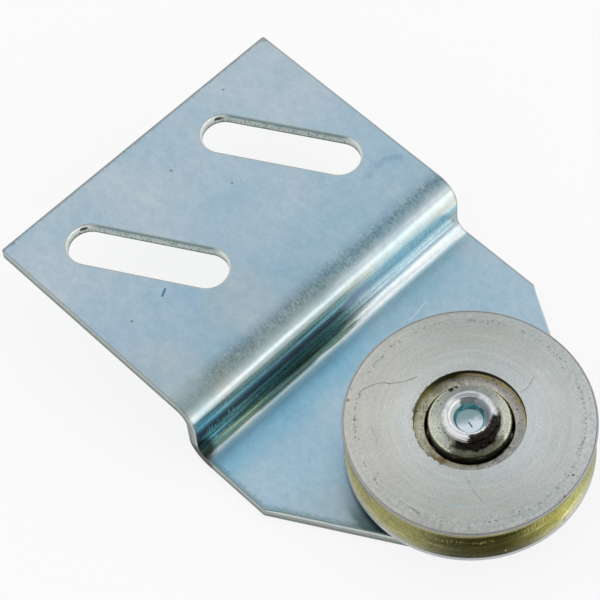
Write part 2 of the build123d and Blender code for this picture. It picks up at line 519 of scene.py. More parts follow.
class Canvas:
    """A surface under paint: the places on it, patterns over them, and its colour so far.

    Tones laid over the colour are eight-bit display values. Tints that multiply it are shares of
    its light, and one number is the same share of all three.
    """

    def __init__(self, graph: Graph) -> None:
        """Finds the place on the piece, in millimetres."""
        self.graph = graph
        metres = graph.node("ShaderNodeTexCoord", output="Object")
        self.place = graph.vector("SCALE", metres, Scale=1 / MM)
        self.colour: Hue = WHITE

    @cached_property
    def at(self) -> tuple[Wire, Wire, Wire]:
        """The place's coordinates across the piece, towards the slots and up the axle."""
        return self.graph.parts(self.place)

    @cached_property
    def polar(self) -> tuple[Wire, Wire]:
        """The place's radius and angle in degrees about the wheel's axis."""
        x, y, _ = self.at
        return (x * x + y * y) ** 0.5, y.maths("ARCTAN2", y, x) * math.degrees(1)

    @cached_property
    def sheet(self) -> tuple[Wire, Wire, Wire]:
        """Across, along and behind the front face of the flat sheet."""
        place = self.graph.node("ShaderNodeAttribute", {"attribute_name": SHEET}, output="Vector")
        return self.graph.parts(place)

    def noise(
        self, scale: float, detail: float = 2.0, rough: float = 0.5, axes: Triple | None = None
    ) -> Wire:
        """Smooth noise about 0.5.

        Args:
            scale: Waves in a millimetre.
            detail: How many finer waves it carries.
            rough: How strong they are.
            axes: What scales the waves along each axis, if they are stretched.

        Returns:
            The noise.
        """
        where = self.graph.vector("MULTIPLY", self.place, axes) if axes else self.place
        return self.graph.noise(where, scale, detail, rough)

    def scatter(self, scale: float, share: float, size: float) -> Wire:
        """Round specks in a share of the cells of a grid that is shuffled evenly.

        Args:
            scale: Cells in a millimetre.
            share: Share of the cells that hold a speck.
            size: A speck's radius, as a share of a cell.

        Returns:
            1 in the middle of a speck and 0 between them.
        """
        inputs = {"Vector": self.place, "Scale": scale}
        distance = self.graph.node("ShaderNodeTexVoronoi", inputs=inputs, output="Distance")
        shuffled = Wire(self.graph, distance.socket.node.outputs["Color"])
        chance = self.graph.parts(shuffled)[0]
        return distance.rise(size, size * 0.4) * chance.rise(share + 0.01, share)

    def between(self, low: Tone, high: Tone, factor: Number) -> Wire:
        """A mix of two tones."""
        return self.graph.mix(self._light(low), self._light(high), factor)

    def over(self, tone: Tone, share: Number) -> None:
        """Lays a tone over the colour by its share."""
        self.colour = self.graph.mix(self.colour, self._light(tone), share)

    def tinted(self, tint: Colour, share: Number) -> None:
        """Multiplies the colour by a tint, by its share."""
        self.colour = self.graph.mix(self.colour, tint, share, "MULTIPLY")

    def toned(self, low: Tint, high: Tint, factor: Wire) -> Wire:
        """The colour multiplied by a tint between two."""
        tints = (value if isinstance(value, tuple) else (value,) * 3 for value in (low, high))
        return self.graph.mix(self.colour, self.graph.mix(*tints, factor), 1.0, "MULTIPLY")

    def varied(self, low: Tint, high: Tint, factor: Wire) -> None:
        """Multiplies the colour by a tint between two."""
        self.colour = self.toned(low, high, factor)

    def fresh(self, colour: Hue) -> "Canvas":
        """The same surface with another colour."""
        other = copy.copy(self)
        other.colour = colour
        return other

    @staticmethod
    def _light(tone: Tone) -> Hue:
        """A tone as linear light."""
        return tone if isinstance(tone, Wire) else srgb(*tone)


# ---- Finishes -------------------------------------------------------------------------------


@dataclass(frozen=True)
class Coat:
    """What a finish hands to its shader: wires or plain values for each socket."""

    colour: Hue
    metallic: Number
    roughness: Number
    relief: Number  # height of the surface, in millimetres
    gloss: float = 0.5  # specular level, the same all over


class Finish:
    """A procedural metal finish; each kind paints its own coat."""

    label = "finish"

    def coat(self, paint: Canvas) -> Coat:
        """The coat of this finish.

        Args:
            paint: The surface that it dresses.

        Returns:
            The coat's colour, metal, roughness and relief.
        """
        raise NotImplementedError

    def material(self) -> bpy.types.Material:
        """Builds the finish as a material.

        Returns:
            A node material with a Principled shader.
        """
        material = bpy.data.materials.new(self.label)
        material.use_nodes = True
        graph = Graph(material.node_tree)
        coat = self.coat(Canvas(graph))
        inputs = {"Base Color": coat.colour, "Metallic": coat.metallic, "Roughness": coat.roughness}
        inputs["Specular IOR Level"] = coat.gloss
        bump = {"Strength": 1.0, "Distance": MM, "Height": coat.relief}
        inputs["Normal"] = graph.node("ShaderNodeBump", inputs=bump)
        shader = graph.node("ShaderNodeBsdfPrincipled", inputs=inputs)
        graph.node("ShaderNodeOutputMaterial", inputs={"Surface": shader})
        return material


@dataclass(frozen=True)
class BlueZinc(Finish):
    """Blue-passivated zinc on the folded plate, painted in the flat sheet's coordinates."""

    plate: "MountingPlate"
    label = "blue_zinc_plate"

    def coat(self, paint: Canvas) -> Coat:
        """Mottled blue zinc with sheared edges, and painted highlights, reflections and streaks along the
        bends.

        Args:
            paint: The surface that it dresses.

        Returns:
            The coat.
        """
        plate, graph = self.plate, paint.graph
        across, along, depth = paint.sheet
        cloud = graph.noise(graph.vector("ADD", paint.place, (31.0, 7.0, 3.0)), 0.075, 3.0)
        weave = paint.noise(0.75, 3.0, 0.6, axes=(1.0, 0.7, 0.7))
        grain = paint.noise(3.4, 3.0, 0.65)
        self.zinc(paint)
        paint.over((164, 187, 201), depth.rise(plate.thickness - 0.5, plate.thickness - 0.2) * 0.8)
        paint.varied((1.11, 1.045, 1.02), (0.925, 0.975, 1.0), cloud.rise(0.30, 0.70))
        paint.varied((1.05, 1.03, 1.02), (0.935, 0.96, 0.97), weave.rise(0.32, 0.68))
        paint.varied(1.03, (0.94, 0.945, 0.95), grain.rise(0.40, 0.72))
        self.marks(paint)
        wall = self.edges(paint)
        crown = along.band(plate.web_end + 3.6, plate.second_bend_end + 1.6, 0.8)
        folded = along.band(plate.first_bend + 0.3, plate.web_end + 1.5, 0.5)
        drawn = paint.noise(1.0, 3.0, axes=(0.15, 3.5, 3.5))
        striped = paint.noise(1.0, 3.0, axes=(4.0, 4.0, 1.2))
        relief = paint.noise(1.1, 3.0, 0.6) * 0.005 + grain * 0.0015 + grain * crown * 0.008
        relief = relief + drawn * folded * 0.012 + striped * wall * 0.06
        rough = 0.30 + weave * 0.05 + grain * 0.06 + wall * 0.16 + crown * 0.12 - folded * 0.08
        chalky = along.band(plate.web_end + 1.2, plate.web_end + 2.0, 0.6) * across.rise(14.0, 7.0)
        return Coat(paint.colour, 1.0 - chalky * across.rise(-30.0, -12.0) * 0.5, rough, relief)

    @staticmethod
    def stops(*groups: tuple[float, tuple[tuple[float, int, int, int], ...]]) -> list[Stop]:
        """Stops from groups of (offset, red, green, blue) rows, each group with its own anchor."""
        return [(anchor + row[0], srgb(*row[1:])) for anchor, rows in groups for row in rows]

    def zinc(self, paint: Canvas) -> None:
        """The zinc from axle to screw end, with painted highlights and reflections on the folds, darker in
        their left half.

        Args:
            paint: The surface that it dresses.
        """
        plate, graph = self.plate, paint.graph
        first, web, turn, last = plate.first_bend, plate.web_start, plate.web_end, plate.second_bend_end
        across, along, _ = paint.sheet
        # The stops paint the folds' highlights and reflections as tones along the sheet, one table for the
        # left half and one for the right.
        left = self.stops(
            (first, (
                (-7.5, 160, 189, 206), (-3.0, 138, 184, 206), (-1.2, 127, 172, 197),
                (-0.5, 168, 198, 212), (-0.15, 220, 240, 244), (0.15, 238, 248, 250),
                (0.5, 112, 142, 136), (0.9, 94, 126, 119), (1.9, 90, 136, 150), (2.5, 128, 182, 198),
            )),
            (web, (
                (0.6, 162, 228, 244), (1.6, 54, 92, 112), (2.6, 31, 47, 61), (3.6, 80, 130, 148),
            )),
            (turn, (
                (0.0, 202, 250, 252), (0.6, 218, 252, 252), (1.0, 186, 234, 232), (1.4, 152, 194, 200),
                (2.0, 234, 250, 255),
            )),
            (last, (
                (-3.6, 208, 222, 226), (-3.0, 164, 178, 181), (-1.6, 150, 169, 173),
                (-0.8, 138, 158, 163), (0.0, 127, 150, 160), (0.6, 131, 154, 167), (1.3, 142, 167, 181),
                (2.8, 150, 177, 192), (9.0, 156, 181, 198),
            )),
        )
        right = self.stops(
            (first, (
                (-7.5, 159, 186, 202), (-3.0, 149, 184, 202), (-1.2, 144, 178, 194),
                (-0.5, 158, 186, 198), (0.1, 238, 250, 252), (0.9, 226, 240, 246), (1.4, 176, 190, 195),
                (1.9, 160, 176, 184), (2.5, 186, 202, 210),
            )),
            (web, (
                (0.6, 172, 196, 203), (1.6, 156, 188, 199), (2.6, 134, 177, 197), (3.6, 152, 205, 223),
            )),
            (turn, (
                (0.0, 204, 236, 240), (0.9, 220, 232, 226), (2.1, 216, 230, 228),
            )),
            (last, (
                (-3.6, 198, 211, 214), (-3.0, 173, 186, 190), (-2.4, 185, 199, 204),
                (-1.6, 162, 183, 193), (-0.8, 134, 161, 172), (0.0, 122, 149, 163), (0.6, 142, 168, 182),
                (1.3, 152, 177, 192), (2.8, 159, 183, 197), (9.0, 160, 184, 199),
            )),
        )
        wander = (paint.noise(1.0, axes=(0.10, 1.0, 1.0)) - 0.5) * 0.5
        sway = (paint.noise(1.0, 3.0, axes=(0.4, 2.2, 2.2)) - 0.5) * 9.0
        half = (across + sway).rise(0.5, 8.0)
        run = along + wander
        paint.colour = graph.mix(graph.profile(run, left), graph.profile(run, right), half)
        # Streaks along the folds, partly drawing marks in the zinc and partly painted reflection.
        streaks = paint.noise(1.0, 3.0, 0.65, axes=(0.09, 3.2, 3.2))
        streaked = paint.toned((0.55, 0.56, 0.56), (1.5, 1.42, 1.38), streaks.rise(0.34, 0.66))
        paint.over(streaked, along.band(first + 0.6, turn + 1.0, 0.4) * (0.9 - half * 0.6))
        # Painted shade that narrows the first bend's highlight between across -17 and -6.5.
        painted_shade_strip = across.band(-17.0, -6.5, 3.0) * along.band(first + 0.3, first + 0.7, 0.2)
        paint.tinted((0.42, 0.48, 0.48), painted_shade_strip)
        # A painted dark reflection, teal, over the folds' left end.
        left_end_reflection = across.rise(-22.0, -28.5) * along.band(first + 1.6, turn + 1.7, 0.5)
        paint.tinted((0.50, 0.66, 0.74), left_end_reflection)
        # A painted reflection, lilac, on the web near the middle.
        lilac = Plane(across * 0.45, along + sway * 0.12).spot((2.8, web + 3.2), 2.0)
        paint.over((168, 170, 196), lilac * 0.6)
        # A painted reflection, dark olive, in the hollow of the first bend on the left half.
        olive = paint.noise(1.0, axes=(0.07, 2.0, 2.0)).rise(0.50, 0.60)
        olive = olive * along.band(first + 0.5, first + 2.6, 0.3) * (1.0 - half)
        paint.over((128, 146, 104), olive * 0.6)
        hairs = paint.noise(1.0, 5.0, 0.8, axes=(2.9, 1.4, 1.4))
        fringe = (along + (paint.noise(0.3, 3.0) - 0.5) * 2.4).band(last - 0.8, last + 0.4, 1.4)
        paint.over(paint.toned((0.64, 0.67, 0.65), (1.24, 1.22, 1.19), hairs.rise(0.36, 0.64)), fringe)
        worn = across.rise(-12.0, -28.0) * along.band(last - 3.0, last + 1.0, 1.5)
        paint.tinted((0.97, 0.93, 0.86), worn)
        paint.over((170, 189, 201), along.rise(last + 6.0, last + 34.0))
        flat = Plane(across, along)
        greyed = flat.squared((-28.0, 4.0)).rise(200.0, 20.0) * 0.7
        greyed = greyed | flat.squared((-9.5, 50.0)).rise(64.0, 4.0) * 0.7
        greyed = greyed | flat.squared((-29.0, 48.0)).rise(100.0, 4.0) * 0.7
        corner = flat.squared((29.0, 26.0)).rise(25.0, 2.0)
        paint.over((170, 184, 190), greyed | corner * along.rise(first - 0.2, first - 1.2) * 0.35)

    def marks(self, paint: Canvas) -> None:
        """Specks, scratches, stains, an oily smear and a painted shadow round the wheel's rim on the front
        face.

        Args:
            paint: The surface that it dresses.
        """
        plate = self.plate
        side, end, first = plate.half_width, plate.screw_end, plate.first_bend
        across, along, depth = paint.sheet
        x, y, _ = paint.at
        radius, angle = paint.polar
        flat, seen = Plane(across, along), Plane(x, y)
        front = depth.rise(0.3, 0.1)
        ragged = (paint.noise(3.0) - 0.5) * 0.5
        crumbly = (paint.noise(1.2, 4.0, 0.8) - 0.5) * 2.2
        rim = (across.size().rise(side - 0.45, side - 0.2) | along.rise(end - 0.45, end - 0.2)) * front
        paint.over((146, 144, 136), rim * 0.6)
        top, bottom = (-side, plate.left_corner_start), (plate.left_foot, plate.axle_end)
        dirty = flat.line(top, bottom, 1.8, crumbly) | flat.line((-side, first), top, 1.5, crumbly)
        paint.over((100, 128, 128), dirty * front * 0.5)
        grubby = flat.line((-side, end), (side, end), 0.9, crumbly * 0.8)
        grubby = grubby | flat.spot((side, end), 1.7, crumbly * 0.7)
        paint.over((118, 122, 120), grubby * front * 0.5)
        # A painted shadow and dark reflection, dark green, on the plate round the wheel's rim towards -X.
        rim_shadow = (radius + crumbly * 0.3).band(19.2, 21.3, 0.9) * angle.sector(-168.0, 22.0, 12.0)
        paint.over((58, 92, 86), rim_shadow * front * 0.6)
        specks = paint.scatter(0.9, 0.10, 0.11)
        for dot in ((22.1, 77.4), (17.4, 74.2), (5.3, 59.3), (0.0, 68.5), (-24.3, 51.7), (-27.7, 76.8)):
            specks = specks | seen.spot(dot, 0.30, ragged)
        paint.over((84, 100, 112), specks * front * 0.6)
        paint.over((72, 122, 152), seen.line((-16.4, 52.3), (-17.7, 51.6), 0.34) * front)
        tide = ((28.3, 42.4), (27.3, 43.5), (26.0, 44.1), (24.4, 44.3))
        tide += ((22.9, 44.4), (21.9, 44.0), (20.5, 43.5))
        stain = seen.trail(tide, 1.1, ragged * 1.2) * paint.noise(0.35).rise(0.28, 0.56)
        paint.over((134, 162, 186), stain * front * 0.7)
        scratches = seen.line((11.0, 24.0), (15.1, 24.5), 0.24)
        scratches = scratches | seen.line((9.8, 24.3), (11.4, 24.4), 0.2, ragged * 0.4) * 0.5
        paint.over((206, 216, 220), scratches * front * 0.45)
        strokes = paint.noise(1.0, axes=(2.4, 0.5, 0.5)).rise(0.56, 0.62)
        web, turn = plate.web_start, plate.web_end
        ends = across.band(17.0, 26.5, 1.5) * along.band(web + 0.6, turn - 0.4, 0.5)
        ends = ends | across.band(-29.0, -22.0, 1.5) * along.band(web - 1.0, turn - 2.0, 0.5)
        paint.over((116, 182, 196), strokes * ends * front * 0.8)
        smear = flat.spot((-29.4, first + 1.9), 2.8, ragged * 2.0)
        smear = smear | flat.spot((-30.2, first + 3.4), 2.0, ragged * 2.0) * 0.8
        paint.over((28, 36, 34), smear * 0.9)

    def slot_gap(self, across: Wire, along: Wire) -> tuple[Wire, Wire]:
        """How far outside the nearer slot's edge a place lies, and how far along that slot.

        Args:
            across: The place across the flat sheet.
            along: The place along it.

        Returns:
            The gap, negative inside the slot, and the run from the slot's middle.
        """
        gaps = []
        ax, ay = self.plate.slot_axis
        for centre_x, centre_y in (self.plate.slot_centre(side) for side in SIDES):
            x, y = across - centre_x, along - centre_y
            run = x * ax + y * ay
            kept = (run | -self.plate.slot_half).smallest(self.plate.slot_half)
            away = ((x - kept * ax) ** 2.0 + (y - kept * ay) ** 2.0) ** 0.5
            gaps.append((away - self.plate.slot_radius, run))
        (one, run_one), (two, run_two) = gaps
        nearer = (two - one).rise(-0.01, 0.01)
        return one.smallest(two), run_one * nearer + run_two * (1.0 - nearer)

    def edges(self, paint: Canvas) -> Wire:
        """The sheared and punched edges, by depth behind the front face.

        Args:
            paint: The surface that it dresses.

        Returns:
            1 on the walls and 0 elsewhere.
        """
        plate = self.plate
        across, along, depth = paint.sheet
        x, y, _ = paint.at
        gap, run = self.slot_gap(across, along)
        paint.over((176, 184, 182), gap.rise(0.52, 0.40) * depth.rise(0.45, 0.30) * 0.7)
        ragged = depth + (paint.noise(1.6, 3.0) - 0.5) * 0.35
        wall = depth.band(0.10, plate.thickness - 0.08, 0.05)
        punched = gap.rise(1.2, 0.9)
        grit = paint.noise(1.6, 3.0, 0.7, axes=(2.2, 2.2, 1.0))
        body = paint.between((202, 212, 208), (144, 156, 152), grit.rise(0.46, 0.62))
        ends = run.size().rise(plate.slot_half - 0.5, plate.slot_half + 2.2) * punched
        paint.over(body, wall * ragged.rise(0.34, 0.52))
        paint.over((122, 150, 148), wall * ragged.rise(0.46, 0.20) * (1.0 - ends) * 0.85)
        # Painted highlights: the slot walls are white towards the slots' ends.
        paint.over((240, 244, 240), wall * ends * ragged.rise(1.2, 0.8) * 0.85)
        paint.over((112, 118, 112), wall * ragged.rise(1.45, 1.70) * 0.8)
        lump = (paint.noise(2.0) - 0.5) * 1.2
        pits = Plane(x, y).spot((13.0, 70.9), 0.9, lump) | Plane(x, y).spot((-17.6, 71.0), 0.9, lump)
        paint.over((52, 54, 48), pits * ragged.band(0.45, 0.9, 0.25) * 0.95)
        shear = wall * (1.0 - punched)
        paint.over((146, 156, 152), shear * 0.7)
        paint.over((104, 108, 102), shear * ragged.rise(1.0, 1.3) * 0.6)
        paint.over((176, 182, 176), shear * ragged.rise(1.5, 1.75) * 0.6)
        paint.over((226, 232, 226), shear * ragged.rise(0.52, 0.24) * 0.7)
        blackened = Plane(across, along).spot((-30.0, plate.first_bend + 0.9), 2.6, lump) * shear
        paint.over((46, 46, 42), blackened * 0.85)
        return wall


@dataclass(frozen=True)
class TurnedSteel(Finish):
    """A matt turned face, with yellow zinc left in the groove and the bore."""

    face: float
    back: float
    radius: float
    recess_radius: float
    land: float
    pit_ring: float = 18.0  # radius of the ring of pits
    label = "turned_wheel_steel"

    def coat(self, paint: Canvas) -> Coat:
        """Rings, pits and hairlines on the face, and yellow zinc in the groove.

        Args:
            paint: The surface that it dresses.

        Returns:
            The coat.
        """
        x, y, z = paint.at
        radius, angle = paint.polar
        inside = self.in_groove(radius, z)
        grain = paint.noise(2.8, 4.0, 0.7)
        cloud = paint.noise(0.14, 3.0, 0.55)
        rings = paint.graph.noise(paint.graph.vector_of(radius * 2.8, x * 0.05, y * 0.05), 1.0, 3.0, 0.7)
        # Painted sheen of the turned face: lighter along the diameter from +X-Y to -X+Y, darker across it,
        # mixed with random cloud; it turns with the wheel.
        fan_highlight = angle.swing(-44.5)
        sheen_and_cloud = (fan_highlight * 0.8 + cloud * 0.9 - 0.35).clamped()
        paint.colour = paint.between((180, 184, 181), (202, 204, 202), sheen_and_cloud)
        paint.varied(1.06, 0.95, radius.rise(10.0, 17.0))
        cool = ((x - y) * 0.0176 + 0.5).clamped()
        paint.varied((1.03, 1.0, 0.96), (0.97, 1.0, 1.02), cool)
        near = radius.band(self.recess_radius + 0.6, self.recess_radius + 2.8, 1.2)
        paint.tinted((0.96, 1.0, 1.035), near * 0.8)
        paint.varied(1.05, 0.89, grain.rise(0.36, 0.72))
        paint.varied(1.02, (0.95, 0.955, 0.96), rings.rise(0.40, 0.66))
        depth = self.turning_marks(paint)
        rim = radius.band(self.radius - 0.34, self.radius - 0.18, 0.06)
        rim = rim * z.rise(self.face - 0.4, self.face - 0.3)
        paint.tinted((0.50, 0.47, 0.47), rim * (0.45 + cloud * 0.8))
        # The rim's lands are painted: pale lavender on the rear land, a painted highlight, and darker grey
        # on the front land.
        land = radius.rise(self.radius - 0.12, self.radius - 0.04) * (1.0 - inside)
        tone = paint.between((204, 204, 212), (150, 147, 152), z.rise(self.face - 1.0, self.face - 0.8))
        paint.over(tone, land * (0.6 + cloud * 0.5).clamped())
        paint.over(self.groove(paint), inside)
        bore = radius.rise(self.recess_radius + 0.10, self.recess_radius + 0.02)
        # The bore's brown zinc carries a painted shadow line, dark near the face's edge, and is paler deeper
        # down and towards -X.
        left = angle.sector(146.0, 42.0, 30.0)
        gilt = paint.noise(0.5, 3.0).rise(0.34, 0.50) * ((angle + 20.0).band(-60.0, 60.0, 22.0) | left * 0.5)
        shaded_bore = paint.between((66, 60, 34), (132, 130, 98), z.rise(self.face - 1.2, self.face - 1.5) | left)
        gilt = gilt * z.rise(self.face - 0.7, self.face - 1.1)
        paint.over(paint.between(shaded_bore, (248, 240, 196), gilt), bore)
        rough = 0.46 + grain * 0.10 - inside * 0.28
        return Coat(paint.colour, 1.0, rough, grain * 0.007 + rings * 0.004 - depth)

    def turning_marks(self, paint: Canvas) -> Wire:
        """A ring of pits, a crumbly outer band, fine arcs and hairline cracks.

        Args:
            paint: The surface that it dresses.

        Returns:
            How deep the marks lie.
        """
        x, y, _ = paint.at
        radius, angle = paint.polar
        seen = Plane(x, y)
        broken = paint.noise(0.25).rise(0.40, 0.50) * paint.noise(0.9, 1.0).rise(0.34, 0.44)
        uneven = paint.noise(0.55)
        run = angle * 0.33 + uneven * 5.0
        step = (run.maths("FRACT", run) - 0.5) * 0.9
        off = radius - self.pit_ring + (uneven - 0.5) * 0.9
        pits = (step ** 2.0 + off ** 2.0).rise(0.06, 0.01) * broken * 0.65
        pits = pits | paint.scatter(0.9, 0.16, 0.15) * radius.rise(14.0, 17.0)
        pits = pits | paint.scatter(0.30, 0.30, 0.05) * radius.rise(9.0, 10.5)
        for dot in ((0.4, -19.6), (3.9, -18.1), (-12.4, 12.9), (-8.6, 0.6), (-10.6, 16.2)):
            pits = pits | seen.spot(dot, 0.30, (paint.noise(2.0) - 0.5) * 0.4)
        crumb = paint.noise(1.5, 3.0, 0.7)
        outer = radius.band(17.5, 19.3, 0.7) * (0.4 + 0.6 * (angle - 100.0).band(-260.0, -120.0, 40.0))
        paint.tinted((0.84, 0.85, 0.84), crumb.rise(0.54, 0.62) * outer)
        paint.over((218, 221, 219), crumb.rise(0.44, 0.36) * outer * 0.36)
        arcs = paint.graph.noise(paint.graph.vector_of(radius * 1.6, x * 0.07, y * 0.07), 1.0)
        paint.over((176, 191, 197), arcs.rise(0.60, 0.68) * radius.rise(11.0, 14.0) * 0.5)
        paint.over((214, 217, 216), arcs.rise(0.40, 0.32) * 0.2)
        sway = (paint.noise(0.9, 2.0, 0.6) - 0.5) * 0.8
        path = ((-9.2, 15.1), (-8.3, 15.8), (-7.2, 15.8), (-5.0, 14.7))
        path += ((-3.6, 13.2), (-1.8, 11.9), (-0.2, 11.2))
        cracks = seen.trail(path, 0.14, sway)
        cracks = cracks | seen.trail(((12.3, -2.1), (10.4, -2.6), (9.0, -2.4)), 0.13, sway) * 0.8
        cracks = cracks | seen.trail(((-7.8, -6.6), (-8.6, -8.8), (-9.0, -11.3)), 0.12, sway) * 0.6
        cracks = cracks | seen.line((-11.6, 9.9), (-12.8, 7.6), 0.14, sway) * 0.5
        nicks = paint.noise(1.1, 3.0, 0.75) * 1.6 + radius - self.recess_radius
        paint.over((96, 94, 78), nicks.rise(1.02, 0.86) * angle.sector(132.5, 57.5, 25.0) * 0.8)
        paint.over((118, 116, 106), cracks * 0.62)
        paint.over((108, 108, 102), pits * 0.8)
        return pits * 0.03 + cracks * 0.03

    def in_groove(self, radius: Wire, z: Wire) -> Wire:
        """1 between the rims and 0 elsewhere."""
        inside = z.band(self.back + self.land + 0.05, self.face - self.land * 0.45, 0.12)
        return inside * radius.rise(self.radius - 6.0, self.radius - 5.0)

    def groove(self, paint: Canvas) -> Hue:
        """Olive and gold yellow zinc with fine turning lines.

        Args:
            paint: The wheel's surface, which keeps its own colour.

        Returns:
            The groove's colour.
        """
        _, _, z = paint.at
        _, angle = paint.polar
        lines = paint.noise(1.0, 4.0, 0.8, axes=(0.05, 0.05, 2.6))
        patches = paint.noise(0.25, 3.0)
        gold = paint.fresh(paint.between((142, 138, 78), (158, 154, 90), patches.rise(0.40, 0.62)))
        gold.over((98, 94, 50), lines.rise(0.52, 0.64) * 0.8)
        gold.over((214, 210, 156), lines.rise(0.43, 0.34) * (0.3 + patches).clamped())
        # Painted reflections: the groove is paler on three sides, towards +X, +Y and -X.
        gold.over((160, 160, 116), (angle + 25.0).band(-42.0, 50.0, 25.0) * 0.6)
        gold.over((152, 156, 136), angle.sector(-171.0, 24.0, 16.0) * 0.25)
        gold.over((158, 156, 116), angle.sector(100.0, 52.0, 30.0) * 0.5)
        gold.over((92, 82, 44), paint.scatter(1.1, 0.16, 0.14) * 0.7)
        rear = z.rise(self.back + self.land + 0.55, self.back + self.land + 0.1)
        gold.over((176, 176, 160), rear * 0.6)
        gold.varied(1.08, 0.88, paint.noise(2.0, 3.0, 0.7).rise(0.38, 0.64))
        return gold.colour


@dataclass(frozen=True)
class WornYellowZinc(Finish):
    """Yellow zinc worn to beige, with gilt edges and dried oil."""

    face: float
    inner: float
    outer: float
    label = "yellow_zinc_race"

    def coat(self, paint: Canvas) -> Coat:
        """Beige to grey, gilt at both edges, flecked with dirt and browned at one side.

        Args:
            paint: The surface that it dresses.

        Returns:
            The coat.
        """
        x, y, z = paint.at
        radius, angle = paint.polar
        cloud = paint.noise(0.6, 4.0, 0.65)
        grain = paint.noise(3.6, 3.0, 0.7)
        grey = ((x * 0.6 - y * 0.8) * 0.06 + cloud).rise(0.2, 0.9)
        paint.colour = paint.between((168, 169, 150), (162, 167, 168), grey)
        paint.over((184, 181, 180), angle.band(-40.0, 40.0, 30.0) * 0.8)
        paint.varied(1.0, (1.28, 1.28, 1.34), (angle - 70.0).band(-60.0, 70.0, 30.0))
        paint.varied((1.14, 1.13, 1.12), (0.70, 0.69, 0.66), grain.rise(0.36, 0.68))
        paint.varied(1.08, (0.84, 0.83, 0.80), cloud.rise(0.36, 0.64))
        gilt = radius.rise(self.outer - 0.32, self.outer - 0.14) * cloud.rise(0.38, 0.56)
        paint.over((222, 216, 140), gilt * (angle - 20.0).band(-70.0, 130.0, 50.0) * 0.8)
        inner = radius.rise(self.inner + 0.34, self.inner + 0.14) * cloud.rise(0.60, 0.48)
        paint.over((206, 198, 140), inner * 0.7)
        specks = paint.scatter(1.5, 0.55, 0.26) | paint.scatter(0.9, 0.45, 0.20)
        paint.over((62, 60, 48), specks * 0.85)
        oil = Plane(x, y).spot((-8.3, -0.9), 2.8, paint.noise(0.9, 3.0) * 1.8)
        paint.over((112, 86, 50), oil * 0.85)
        stain = (angle - 110.0).band(-60.0, 60.0, 20.0) * cloud.rise(0.5, 0.6)
        paint.over((96, 96, 78), stain * 0.3)
        paint.over((48, 44, 32), z.rise(self.face - 0.1, self.face - 0.5))
        return Coat(paint.colour, 1.0, 0.40 + grain * 0.14, grain * 0.014 - specks * 0.02)


@dataclass(frozen=True)
class GreasyZinc(Finish):
    """Pale zinc that is freckled with dirt and blackened with old grease at one side."""

    face: float
    outer: float
    label = "zinc_cone"

    def coat(self, paint: Canvas) -> Coat:
        """Pale grey-green with freckles, a gilt edge, and a smear of grease beside the head.

        Args:
            paint: The surface that it dresses.

        Returns:
            The coat.
        """
        x, y, z = paint.at
        radius, angle = paint.polar
        cloud = paint.noise(0.7, 4.0, 0.65)
        grain = paint.noise(4.0, 3.0, 0.7)
        # Painted dark reflection of the turned face: darker along the diameter from +X+Y to -X-Y, lighter
        # across it, mixed with random cloud.
        painted_dark_reflection = (angle.swing(44.0) * 0.8 + cloud * 0.8 - 0.4).clamped()
        paint.colour = paint.between((200, 205, 194), (146, 152, 146), painted_dark_reflection)
        paint.varied((1.12, 1.12, 1.10), (0.76, 0.76, 0.74), grain.rise(0.38, 0.66))
        paint.varied(1.0, (0.74, 0.74, 0.78), (angle - 60.0).band(-50.0, 55.0, 30.0))
        paint.over((66, 66, 58), (paint.scatter(1.6, 0.50, 0.25) | paint.scatter(0.9, 0.30, 0.18)) * 0.85)
        edge = (radius + (cloud - 0.5) * 0.5).band(self.outer - 0.34, self.outer - 0.20, 0.12)
        paint.over((236, 232, 196), edge * grain.rise(0.58, 0.46) * 0.7)
        ragged = (paint.noise(1.1, 4.0, 0.7) - 0.5) * 60.0
        turned = angle + ragged * 0.5
        smear = turned.band(-162.0, -94.0, 10.0) * (radius + ragged * 0.016).rise(5.7, 5.3)
        smear = smear | turned.band(-94.0, -36.0, 8.0) * (radius + ragged * 0.01).rise(5.0, 4.7)
        film = (angle + ragged * 0.6).band(-160.0, -84.0, 14.0)
        film = film | (angle + ragged).band(-84.0, -30.0, 12.0) * radius.rise(5.3, 4.8) * 0.8
        paint.over((70, 68, 50), film * (0.45 + cloud * 0.7).clamped())
        # The cone's side below its face is painted almost black as well, with lighter streaks just below the
        # face.
        side = z.rise(self.face - 0.28, self.face - 0.75)
        seen = Plane(x, y)
        blob = seen.spot((1.9, 5.9), 0.62, ragged * 0.006) | seen.spot((2.8, 5.6), 0.4, ragged * 0.006)
        smear_and_dark_side = (smear | side * 0.92 | blob).clamped()
        paint.over((26, 21, 13), smear_and_dark_side * 0.96)
        streak = paint.noise(1.0, 3.0, axes=(0.7, 0.7, 4.0)).rise(0.54, 0.66)
        paint.over((176, 178, 164), side * streak * z.rise(self.face - 1.6, self.face - 0.9) * 0.7)
        relief = grain * 0.014 + smear * cloud * 0.10
        return Coat(paint.colour, 1.0 - 0.9 * smear_and_dark_side, 0.34 + grain * 0.16, relief, LOW_GLOSS)


